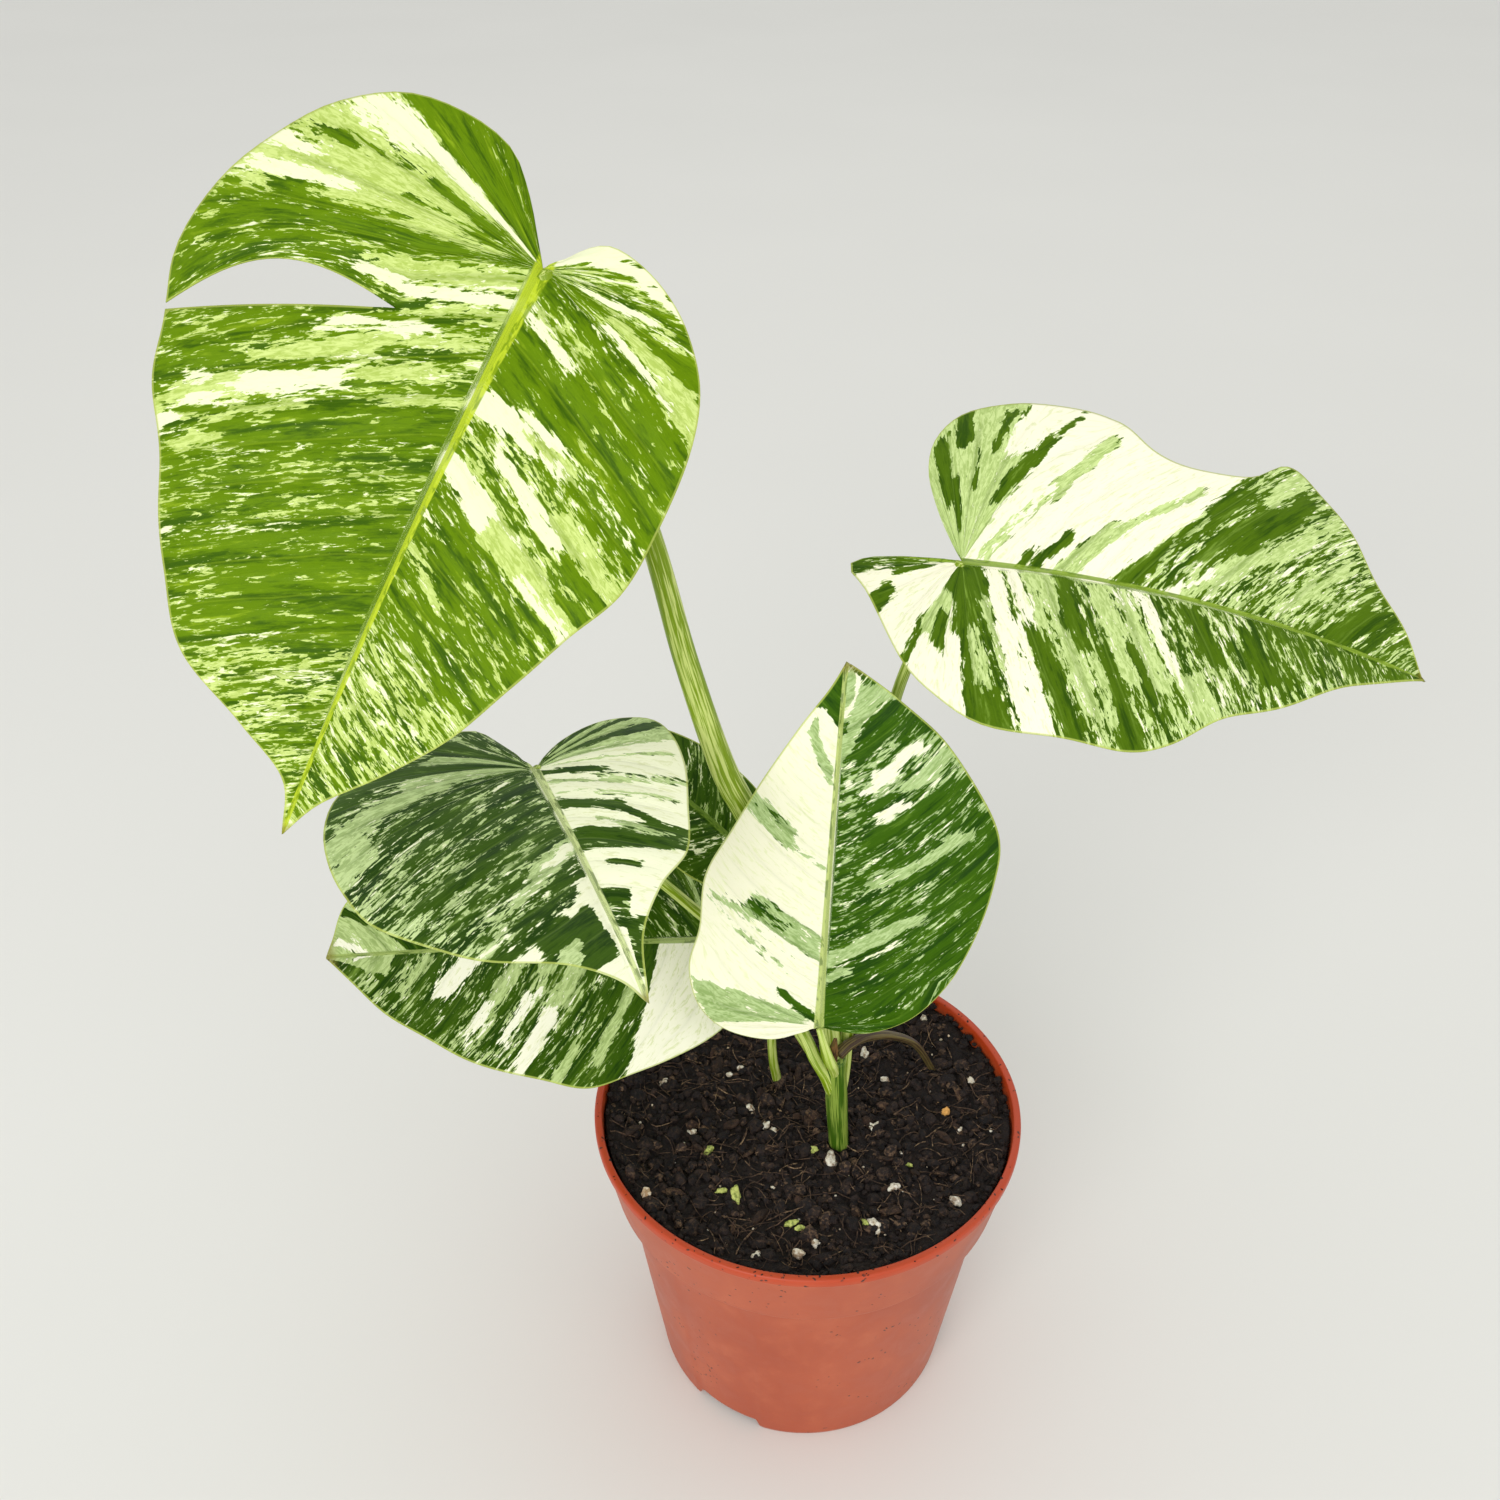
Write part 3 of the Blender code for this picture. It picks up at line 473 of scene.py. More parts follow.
        (S, 19, 0.3, 23, 0.6, 0.5), (S, 54.5, 0.46, 59, 0.99, 3.6), (S, 50.5, 0.1, 54.5, 0.5, 0.8),
        (M, 57.5, 0.6, 59, 0.85, 0.8), (S, 77.5, 0.12, 88, 0.74, 2.8), (G, 103, 0.2, 101, 1.05, 8),
        (G, 94, 0.02, 96, 0.5, 3),
    ),
    ("leaf_front", "right"): (
        (K, -14, 0, -14, 1, 17), (K, 10, 0, 10, 1, 10), (M, 4, 0.82, 10, 1, 5),
        (K, 30, 0.7, 30, 1, 20), (M, 38, 0, 38, 0.4, 15), (M, 32, 0.4, 34, 0.72, 9),
        (S, 15.6, 0.03, 17.6, 0.12, 1.1), (S, 22, 0.06, 27, 0.36, 1.9), (S, 27, 0.36, 29.5, 0.54, 0.9),
        (S, 43, 0.32, 50.5, 0.8, 1.2), (S, 52, 0.76, 57.5, 0.95, 1.2), (M, 62, 0, 62, 0.9, 9),
        (D, 77, 0, 77, 1, 8), (G, 57, 0.3, 63, 0.7, 1.4), (C, 75, 0.4, 80, 0.74, 1.5),
        (C, 63.5, 0.4, 64.6, 0.48, 0.8), (C, 71, 0.28, 74, 0.44, 0.7), (S, 70, 0.6, 76, 0.95, 1.2),
        (M, 90, 0.5, 88, 1, 5), (S, 101, 0, 101, 0.5, 8), (S, 85, 0.04, 95, 0.34, 3.4),
        (G, 82, 0.26, 89, 0.64, 1.5), (C, 95, 0.08, 104, 0.6, 0.9), (S, 98, 0.5, 98, 1, 2.8),
        (G, 91, 0.55, 93, 0.8, 1),
    ),
    ("leaf_lower_left", "left"): (
        (K, 30, 0, 30, 1, 12), (C, -7, 0, -7, 1.05, 24.2), (G, 20.4, 0, 20, 0.5, 1.8),
        (S, 23.5, 0.42, 27.5, 0.78, 1.4), (M, 31, 0.1, 33, 0.6, 4), (M, 42, 0, 47, 1, 6),
        (S, 41, 0.1, 43.5, 0.42, 2.4), (S, 45.5, 0.46, 47, 0.66, 1.6), (C, 46, 0.6, 50, 0.94, 2.2),
        (S, 36, 0.8, 38, 0.98, 1.1), (M, 56, 0.05, 58, 0.95, 7), (S, 50.5, 0.12, 52, 0.36, 2.4),
        (D, 52, 0.3, 57, 0.9, 3.2), (C, 54, 0.5, 57, 0.74, 0.8), (D, 62, 0.1, 67, 0.9, 4),
        (S, 60.5, 0.24, 64, 0.56, 1.6), (C, 65, 0.6, 68, 0.84, 1), (M, 70, 0.05, 72, 0.95, 4),
        (C, 73.5, 0.06, 79.5, 0.5, 3), (C, 80, 0.5, 86, 0.8, 0.7), (M, 86, 0.1, 88, 0.95, 5),
        (S, 87, 0.15, 91.5, 0.6, 1.1), (D, 97, 0.3, 99, 0.9, 6), (G, 97, 0.1, 98, 0.5, 2),
        (S, 106, 0, 106, 0.4, 9), (C, 104, 0.02, 108, 0.2, 0.8),
    ),
    ("leaf_lower_left", "right"): (
        (K, 10, 0, 10, 1, 42), (M, 66, 0, 68, 1, 22), (S, 33, 0.2, 40, 0.8, 1.4),
        (S, 52, 0.15, 60, 0.8, 1.6), (S, 70, 0.1, 79, 0.7, 1.6), (M, -12, 0.2, -12, 1, 6),
        (S, -8, 0.4, -7, 0.9, 0.8), (S, 104, 0.05, 104, 1, 13), (G, 90, 0, 97, 0.5, 2.6),
        (C, 106, 0, 111, 0.7, 1.3), (G, 100, 0.6, 104, 0.9, 1),
    ),
    ("leaf_back", "left"): (
        (M, 30, 0, 30, 1, 10),
    ),
    ("leaf_back", "right"): (
        (M, 14, 0, 14, 1, 8),
    ),
}


def leaf_surface(leaf, s, w):
    """Places flat leaf points (s along the midrib, w to its left) in space, with normals."""
    heading, pitch, roll, length = leaf["heading"], leaf["pitch"], leaf["roll"], leaf["length"]
    ch, sh, cp, sp = np.cos(heading), np.sin(heading), np.cos(pitch), np.sin(pitch)
    along = np.array((ch * cp, sh * cp, sp))
    flat = np.array((-ch * sp, -sh * sp, cp))
    normal = flat * np.cos(roll) + np.cross(flat, along) * np.sin(roll)
    across = np.cross(normal, along)
    ahead = np.maximum(s, 0.0)
    behind = np.minimum(s, 0.0)
    turn = leaf["droop"] * ahead / length
    radius = length / leaf["droop"]
    lobe = -leaf["lobe_droop"] * behind / length
    x = radius * np.sin(turn) + behind * np.cos(lobe / 2)
    drop = -radius * (1 - np.cos(turn)) + behind * np.sin(lobe / 2)
    bent = (turn - lobe)[:, None]
    up = np.sin(bent) * along + np.cos(bent) * normal
    left = w >= 0
    fold = np.where(left, leaf["fold"][0], leaf["fold"][1])
    curl = np.where(left, leaf["curl"][0], leaf["curl"][1])
    half = 0.5 * length
    angle = fold + curl * np.abs(w) / half
    out = (np.sin(angle) - np.sin(fold)) / curl * half
    rise = (np.cos(fold) - np.cos(angle)) / curl * half
    sign = np.where(left, 1.0, -1.0)
    points = (np.array(leaf["attach"]) + x[:, None] * along + drop[:, None] * normal
              + (sign * out)[:, None] * across + rise[:, None] * up)
    face = np.cos(angle)[:, None] * up - (sign * np.sin(angle))[:, None] * across
    return points, face


# Ribs in the basal lobe and along the midrib of each half, and cells along each rib
FAN = 29
BODY = 83
COLUMNS = 34
# Marks where the fan of ribs begins, and how fast the flow mark falls off over the fan
FAN_MARK = -30.0
FAN_FLOW = -750.0
# Relief of a blade, in metres
MIDRIB_RISE = 0.0002
MIDRIB_FURROW = 0.0003
MIDRIB_KEEL = 0.0008
TOP_SINK = 0.0003
# Distance to the margin given to points on the midrib
INNERMOST = 0.06


def half_rows(leaf, side):
    """Ribs of one half: midrib mark, margin point, vein mark and flow mark, in metres and mm."""
    length = leaf["length"]
    marks = [(0.0, 0.0)] + [(a / 1000, b / 1000) for a, b in leaf[side]] + [(length, 0.0)]
    margin = smooth_path(marks, 24)
    margin[:, 1] = np.maximum(margin[:, 1], 0.0)
    start = margin[:, 0] - RIB_SLOPE * margin[:, 1]
    fan_end = max(i for i in range(len(start)) if start[i] <= 0.0)
    gaps = np.linalg.norm(np.diff(margin[: fan_end + 1], axis=0), axis=1)
    walked = np.concatenate([[0.0], np.cumsum(gaps)])
    rows = []
    for share in np.linspace(0.0, 1.0, FAN + 2)[1:]:
        s = np.interp(share * walked[-1], walked, margin[: fan_end + 1, 0])
        w = np.interp(share * walked[-1], walked, margin[: fan_end + 1, 1])
        rows.append((0.0, s, w, FAN_MARK * (1 - share), FAN_FLOW * walked[-1] * (1 - share)))
    body = start[fan_end:].copy()
    body[0] = 0.0
    body = np.maximum.accumulate(body)
    for share in np.linspace(0.0, 1.0, BODY + 2)[1:-1]:
        at = share * length
        s = np.interp(at, body, margin[fan_end:, 0])
        w = np.interp(at, body, margin[fan_end:, 1])
        rows.append((at, s, w, at * 1000, at * 1000))
    return rows


def slit_gap(v):
    share = np.clip((v - SLIT_START) / (1 - SLIT_START), 0.0, None)
    width = SLIT_WIDTH * np.sin(np.pi * np.minimum(1.0, share * 0.97)) + SLIT_END_WIDTH * share
    return np.where(share > 0, width, 0.0)


def slit_pull(rib):
    """How far a rib is drawn towards the stalk by the slit, as a multiple of its half width."""
    first, last = SLIT_MARKS
    if rib > last or rib < first:
        return 0.0
    if rib < 0:
        return SLIT_NEIGHBOUR_PULL * (1 - rib / first)
    if rib <= 1000 * SLIT_RIB:
        return SLIT_NEIGHBOUR_PULL + rib / (1000 * SLIT_RIB)
    return SLIT_PULLS[1] * (2 - rib / (1000 * SLIT_RIB))


# Softness of the sides of a stroke in the basal lobes and elsewhere, and how wide a half of a leaf
# counts as at the ends of a stroke, in millimetres
SOFT = (1.3, 3.0)
HALF_WIDTH = 45.0


def painted(strokes, rib, out, base):
    """Wish for cream and for sage at each point, after all the strokes."""
    cream = np.full(len(rib), base[0])
    sage = np.full(len(rib), base[1])
    soft = np.where(rib < 0, *SOFT)
    for kind, r0, o0, r1, o1, half in strokes:
        t = np.clip((out - o0) / (o1 - o0), 0, 1)
        aside = np.abs(rib - (r0 + (r1 - r0) * t)) - half
        past = np.abs(out - (o0 + (o1 - o0) * t)) * HALF_WIDTH
        x = np.clip(0.5 - np.maximum(aside / soft, (past - 3.0) / 6.0), 0, 1)
        weight = x * x * (3 - 2 * x)
        cream += (kind[0] - cream) * weight
        sage += (kind[1] - sage) * weight
    return cream, sage


def build_leaf(name, leaf, material):
    flat = [(0.0, 0.0)]
    data = [(0.0, 0.0, 0.0, INNERMOST, 0.0)]  # rib, out, side, distance to the margin, flow mark
    faces = []
    midrib = {0.0: 0}

    def add(s, w, *values):
        flat.append((s, w))
        data.append(values)
        return len(flat) - 1

    def on_midrib(at):
        key = round(at, 7)
        if key not in midrib:
            midrib[key] = add(key, 0.0, key * 1000, 0.0, 0.0, INNERMOST, key * 1000)
        return midrib[key]

    tip = on_midrib(leaf["length"])
    shares = 1 - (1 - np.linspace(0, 1, COLUMNS + 1)) ** 1.15
    for side, sign in (("left", 1.0), ("right", -1.0)):
        slit = leaf.get("slit") and side == "right"
        strips = []
        for at, s, w, rib, flow in half_rows(leaf, side):
            root = np.array((at, 0.0))
            end = np.array((s, w))
            reach = np.linalg.norm(end - root)
            aside = unit(end - root)
            aside = np.array((-aside[1], aside[0]))
            aside = aside if aside[0] > 0 else -aside
            pulls = (slit_pull(rib) if slit else 0.0,)
            if slit and abs(at - SLIT_RIB) < 1e-6:
                pulls = SLIT_PULLS
            made = []
            for number, pull in enumerate(pulls):
                row = [on_midrib(at)]
                for v in shares[1:]:
                    shift = pull * float(slit_gap(v)) if pull else 0.0
                    if number == 1 and slit_gap(v) == 0.0:
                        row.append(made[0][len(row)])
                        continue
                    place = root + (end - root) * v - aside * shift
                    edge = (1 - v) * reach
                    if slit and v > SLIT_START and SLIT_MARKS[0] < rib < SLIT_MARKS[1]:
                        edge = min(edge, abs(at - SLIT_RIB) + (SLIT_START + 0.04 > v) * 0.004)
                    row.append(add(place[0], sign * place[1], rib, v, sign, edge, flow))
                made.append(row)
            strips.append((made[0], made[-1]))
        for near_row, far_row in zip(strips, strips[1:]):
            a, b = near_row[1], far_row[0]
            for k in range(COLUMNS):
                corners = []
                for c in (a[k], a[k + 1], b[k + 1], b[k]):
                    if c not in corners:
                        corners.append(c)
                faces.append(tuple(corners if sign < 0 else corners[::-1]))
        last = strips[-1][1]
        for k in range(COLUMNS):
            corners = (last[k], last[k + 1], tip)
            faces.append(corners if sign < 0 else corners[::-1])
    s, w = np.array(flat).T
    rib, out, side, edge, flow = np.array(data).T
    points, normals = leaf_surface(leaf, s, w)
    reach = np.hypot(s * 1000 - np.maximum(rib, 0), w * 1000)
    lean = np.where(side > 0, leaf["lean"][0], leaf["lean"][1]) * np.clip((rib + 8) / 16, 0, 1)
    vein = flow - lean * reach * (0.3 + 0.7 * out)
    spacing = leaf["vein_gap"]
    phase = np.abs((vein / spacing + 0.3 * side) % 1.0 - 0.5) * 2
    stout, fine = leaf["midrib"]
    thick_rib = fine + (stout - fine) * np.exp(-np.maximum(s, 0) / 0.03)
    tip_fade = np.clip((leaf["length"] - s) / 0.02, 0, 1)
    across_rib = np.abs(w) * 1000 / thick_rib
    swell = (1 - phase**2) * leaf["quilt"] * np.clip(out * 5, 0, 1) * np.clip(edge / 0.008, 0, 1)
    ridge = MIDRIB_RISE * np.exp(-(across_rib**4)) * tip_fade
    ridge -= MIDRIB_FURROW * np.exp(-((across_rib - 1.5) ** 2) * 4) * tip_fade
    wave = leaf["wave"] * np.sin(vein / 5.5 + side * 1.3) * np.clip(1 - edge / 0.022, 0, 1)
    wave *= np.clip(out * 3, 0, 1)
    top = points + normals * (swell + ridge + wave - TOP_SINK)[:, None]
    thick = BLADE * (0.5 + 0.5 * np.clip(edge / 0.004, 0, 1))
    thick += MIDRIB_KEEL * np.exp(-(across_rib**2)) * tip_fade
    bottom = top - normals * thick[:, None]
    count = len(s)
    directed = {(f[k], f[(k + 1) % len(f)]) for f in faces for k in range(len(f))}
    solid = list(faces)
    solid += [tuple(count + i for i in reversed(f)) for f in faces]
    solid += [(b, a, count + a, count + b) for a, b in sorted(directed) if (b, a) not in directed]
    left, right = (painted(PAINT[name, key], rib, out, leaf["base"]) for key in ("left", "right"))
    cream, sage = (np.where(side >= 0, left[i], right[i]) for i in (0, 1))
    flow_at = np.stack([reach, vein + 300 * (side < 0), np.full(count, leaf["length"] * 900)], -1)
    attributes = {
        "flow": np.vstack([flow_at, flow_at]),
        "vein": np.tile(vein + 0.3 * spacing * side, 2),
        "mid": np.tile(across_rib, 2),
        "edge": np.tile(edge * 1000, 2),
        "tip": np.tile((leaf["length"] - s) * 1000, 2),
        "cream": np.tile(cream, 2),
        "sage": np.tile(sage, 2),
        "upper": np.repeat([1.0, 0.0], count),
    }
    shell = np.vstack([top, bottom])
    blade = make_object(name.replace("leaf", "blade"), shell, solid, material, attributes)
    settle(blade, "variegated_blade", name)


def blade_material(name, leaf):
    dark, mid, light, sage, cream, rib_color = leaf["colors"]
    n = Nodes(name)
    flow = n.attribute("flow", "Vector")

    def grain(u, v, offset, detail, rough, distort):
        shifted = n.vadd(n.vmul(flow, (u, v, 1.0)), offset)
        return n.noise(shifted, 1.0, detail, rough, distort)

    big = grain(0.030, 0.22, (0.0, 0.0, 0.0), 2.0, 0.55, 0.3)
    streak = grain(0.12, 0.55, (5.0, 2.0, 7.0), 3.0, 0.6, 0.8)
    fleck = grain(0.34, 1.15, (1.0, 8.0, 4.0), 3.0, 0.65, 0.6)
    other = grain(0.30, 1.05, (31.0, 17.0, 5.0), 3.0, 0.65, 0.6)
    tone = grain(0.045, 0.30, (9.0, 3.0, 2.0), 3.0, 0.6, 0.3)

    def add_noise(field, value, amount):
        return n.math("MULTIPLY_ADD", n.minus(value, 0.5), amount, field)

    pale = add_noise(n.attribute("cream"), big, 1.0)
    pale = add_noise(pale, streak, 2.3)
    pale = add_noise(pale, fleck, 2.3)
    grey = add_noise(n.attribute("sage"), tone, 0.6)
    grey = add_noise(grey, streak, 2.0)
    grey = add_noise(grey, other, 2.3)
    # greens vary along the veins
    shade = add_noise(add_noise(0.5, tone, 1.6), fleck, 0.5)
    shade = add_noise(shade, streak, 0.5)
    green = n.mix(n.ramp(shade, 0.20, 0.55), dark, mid)
    green = n.mix(n.ramp(shade, 0.62, 0.95), green, light)
    sage_tone = n.tint(sage, fleck, 0.40, 0.60, 0.55, light)
    body = n.mix(n.ramp(grey, 0.45, 0.57), green, sage_tone)
    # a thin pale green line surrounds each cream patch
    body = n.tint(body, pale, 0.34, 0.46, 0.7, sage)
    cream_mask = n.ramp(pale, 0.47, 0.56)
    body = n.mix(cream_mask, body, n.mix(n.ramp(other, 0.52, 0.66), cream, (232, 236, 190)))
    green_only = n.math("MULTIPLY_ADD", cream_mask, -0.85, 1.0)
    # lateral veins: a paler line along each vein, and painted shade darkening the green in the crease
    # on either side of it
    spacing = leaf["vein_gap"]
    wobble = grain(0.06, 0.02, (2.0, 2.0, 2.0), 1.0, 0.5, 0.0)
    turn = n.math("FRACT", n.math("DIVIDE", add_noise(n.attribute("vein"), wobble, 1.6), spacing))
    gap = n.times(n.math("MINIMUM", turn, n.minus(1.0, turn)), spacing)
    vein = n.times(n.ramp(gap, 0.40, 0.08), n.ramp(n.attribute("edge"), 0.5, 8.0))
    vein_crease_shade = n.times(n.ramp(gap, 1.3, 0.4), n.ramp(n.attribute("edge"), 2.0, 14.0))
    body = n.mix(n.times(n.times(vein_crease_shade, green_only), 0.22), body, dark)
    body = n.mix(n.times(n.times(vein, green_only), 0.28), body, light)
    fine = n.math("FRACT", n.math("DIVIDE", add_noise(n.attribute("vein"), streak, 1.2), 1.4))
    fine = n.ramp(n.math("ABSOLUTE", n.minus(fine, 0.5)), 0.38, 0.5)
    body = n.mix(n.times(n.times(fine, green_only), 0.07), body, light)
    # midrib with darker dashes, then the thin margin line and the dry tip
    dashes = grain(0.9, 0.25, (7.0, 7.0, 1.0), 3.0, 0.6, 0.4)
    rib_tone = n.tint(rib_color, dashes, 0.47, 0.60, 0.7, mid)
    body = n.tint(body, n.attribute("mid"), 1.1, 0.8, 0.92, rib_tone)
    body = n.tint(body, n.attribute("edge"), 0.6, 0.25, 0.7, (186, 200, 96))
    body = n.tint(body, n.attribute("tip"), 4.0, 0.5, 0.6, (132, 112, 48))
    under = n.mix(0.42, body, (140, 162, 88))
    body = n.mix(n.attribute("upper"), under, body)
    base = leaf["gloss"]
    polish = grain(0.2, 0.6, (0.0, 9.0, 9.0), 3.0, 0.6, 0.0)
    rough = n.ramp(polish, 0.3, 0.7, base - 0.05, base + 0.08)
    rough = n.plus(rough, n.times(n.minus(1.0, n.attribute("upper")), 0.15))
    height = n.math("MULTIPLY_ADD", vein, -0.35, n.times(fine, -0.08))
    height = n.math("MULTIPLY_ADD", other, 0.18, height)
    return n.finish(body, rough, n.bump(height, 0.35, 0.0006), Specular_IOR_Level=leaf["shine"])


# ---------------------------------------------------------------- tubes
def tube_mesh(path, radii, sides):
    """Closed round-ended tube; attributes run along it and round it."""
    path = np.asarray(path, float)
    radii = np.asarray(radii, float)
    ahead = np.gradient(path, axis=0)
    ahead /= np.linalg.norm(ahead, axis=1)[:, None]
    side = unit(np.cross(ahead[0], (0.31, 0.95, 0.05)))
    points, length, round_at = [], [], []
    walked = np.concatenate([[0.0], np.cumsum(np.linalg.norm(np.diff(path, axis=0), axis=1))])
    for i in range(len(path)):
        side = unit(side - ahead[i] * (side @ ahead[i]))
        other = np.cross(ahead[i], side)
        for k in range(sides):
            angle = 2 * np.pi * k / sides
            points.append(path[i] + radii[i] * (np.cos(angle) * side + np.sin(angle) * other))
            length.append(walked[i])
            round_at.append(angle)
    faces = []
    for i in range(len(path) - 1):
        for k in range(sides):
            m = (k + 1) % sides
            faces.append((i * sides + k, i * sides + m, (i + 1) * sides + m, (i + 1) * sides + k))
    for end, flip in ((0, True), (len(path) - 1, False)):
        centre = len(points)
        points.append(path[end] + ahead[end] * (-0.35 if flip else 0.35) * radii[end])
        length.append(walked[end])
        round_at.append(0.0)
        for k in range(sides):
            m = (k + 1) % sides
            a, b = end * sides + k, end * sides + m
            faces.append((centre, b, a) if flip else (centre, a, b))
    angles = np.array(round_at)
    flow = np.stack([np.array(length) * 1000, np.cos(angles), np.sin(angles)], -1)
    return np.array(points), faces, {"flow": flow}


def tube(name, line, radii, sides, material, scale=1.0):
    """A tube along the line, whose radius goes evenly through the given ones."""
    share, knots = np.linspace(0.0, 1.0, len(line)), np.linspace(0.0, 1.0, len(radii))
    points, faces, attributes = tube_mesh(line, np.interp(share, knots, radii) * scale, sides)
    return make_object(name, points, faces, material, attributes)


def stalk_material(name, green, pale, brown=0.0):
    n = Nodes(name)
    flow = n.attribute("flow", "Vector")
    lines = n.noise(n.vmul(flow, (0.03, 2.6, 2.6)), 1.0, 3.0, 0.6)
    fine = n.noise(n.vmul(flow, (0.10, 7.0, 7.0)), 1.0, 2.0, 0.6)
    dots = n.noise(n.vmul(flow, (1.6, 5.0, 5.0)), 1.0, 2.0, 0.7)
    mask = n.ramp(n.math("MULTIPLY_ADD", fine, 0.5, lines), 0.70, 0.84)
    color = n.mix(mask, green, pale)
    color = n.tint(color, fine, 0.55, 0.8, 0.35, pale)
    color = n.tint(color, dots, 0.62, 0.72, 0.25 + brown, (110, 90, 40))
    height = n.math("MULTIPLY_ADD", fine, 0.5, n.times(dots, 0.3))
    rough = n.ramp(fine, 0.3, 0.7, 0.34, 0.50)
    return n.finish(color, rough, n.bump(height, 0.3, 0.0004), Specular_IOR_Level=0.25)


# ---------------------------------------------------------------- pot
def notch_lift(angle):
    lift = 0.0
    for middle in NOTCH_ANGLES:
        away = abs((math.degrees(angle) - middle + 180.0) % 360.0 - 180.0)
        t = min(1.0, max(0.0, (NOTCH_HALF_WIDTH + 2.0 - away) / 2.2))
        lift = max(lift, t * t * (3 - 2 * t))
    return lift * NOTCH_HEIGHT


def rounded(corners, steps=5):
    """Outline through the corners, each eased by a short curve as long as its third value."""
    out = [np.array(corners[0][:2])]
    for i in range(1, len(corners) - 1):
        p0, p1, p2 = (np.array(corners[j][:2]) for j in (i - 1, i, i + 1))
        r = corners[i][2]
        if r == 0:
            out.append(p1)
            continue
        a = p1 + (p0 - p1) * min(0.45, r / np.linalg.norm(p0 - p1))
        b = p1 + (p2 - p1) * min(0.45, r / np.linalg.norm(p2 - p1))
        for t in np.linspace(0, 1, steps):
            out.append((1 - t) ** 2 * a + 2 * t * (1 - t) * p1 + t**2 * b)
    out.append(np.array(corners[-1][:2]))
    return np.array(out)


def pot_profile(foot):
    """Section of the pot where its foot ends at this height: radius, height and easing."""
    top, plate = POT_HEIGHT, GROOVE_HEIGHT + FLOOR_THICKNESS
    return rounded((
        (0.0, 0.0, 0), (0.0335, 0.0, 0.0006), (0.0348, GROOVE_HEIGHT, 0.0006),
        (0.0438, GROOVE_HEIGHT, 0.0006), (0.0447, foot, 0.0003), (0.0465, foot, 0.0004),
        (0.0470, foot + 0.0012, 0.0008), (0.0568, 0.0764, 0.0012), (0.0602, 0.078, 0.0011),
        (0.0640, top - 0.0036, 0.0007), (0.0650, top - 0.0028, 0.0005), (0.0650, top, 0.0009),
        (0.0628, top, 0.0006), (0.0624, top - 0.0035, 0.0006), (0.0588, 0.0794, 0.0010),
        (0.0552, 0.0776, 0.0010), (0.0456, 0.0070, 0), (0.0450, plate, 0), (0.0342, plate, 0),
        (0.0329, FLOOR_THICKNESS, 0), (0.0, FLOOR_THICKNESS, 0),
    ))


def build_pot(material):
    sides = 240
    rings = []
    for i in range(sides):
        angle = 2 * math.pi * i / sides
        profile = pot_profile(notch_lift(angle))[1:-1]
        rings.append([polar(r, angle, z) for r, z in profile])
    count = len(rings[0])
    points = [p for ring in rings for p in ring]
    points += [(0, 0, 0.0), (0, 0, FLOOR_THICKNESS)]
    faces = []
    for i in range(sides):
        j = (i + 1) % sides
        for k in range(count - 1):
            faces.append((i * count + k, j * count + k, j * count + k + 1, i * count + k + 1))
        faces.append((len(points) - 2, j * count, i * count))
        faces.append((len(points) - 1, i * count + count - 1, j * count + count - 1))
    pot = make_object("pot_shell", points, faces, material)
    for number, angle in enumerate(np.radians(NOTCH_ANGLES)):
        axis = [polar(DRAIN_CIRCLE, angle, z) for z in DRAIN_CUT]
        drill, drill_faces, _ = tube_mesh(axis, [DRAIN_RADIUS] * 2, 32)
        cutter = make_object(f"drill_{number}", drill, drill_faces, material)
        cut = pot.modifiers.new("cut", "BOOLEAN")
        cut.operation, cut.solver, cut.object = "DIFFERENCE", "EXACT", cutter
        bpy.context.view_layer.update()
        drilled = pot.evaluated_get(bpy.context.evaluated_depsgraph_get())
        result = bpy.data.meshes.new_from_object(drilled)
        pot.modifiers.clear()
        pot.data = result
        bpy.data.objects.remove(cutter, do_unlink=True)
    pot.data.set_sharp_from_angle(angle=math.radians(40))
    settle(pot, "terracotta_plastic", "nursery_pot")


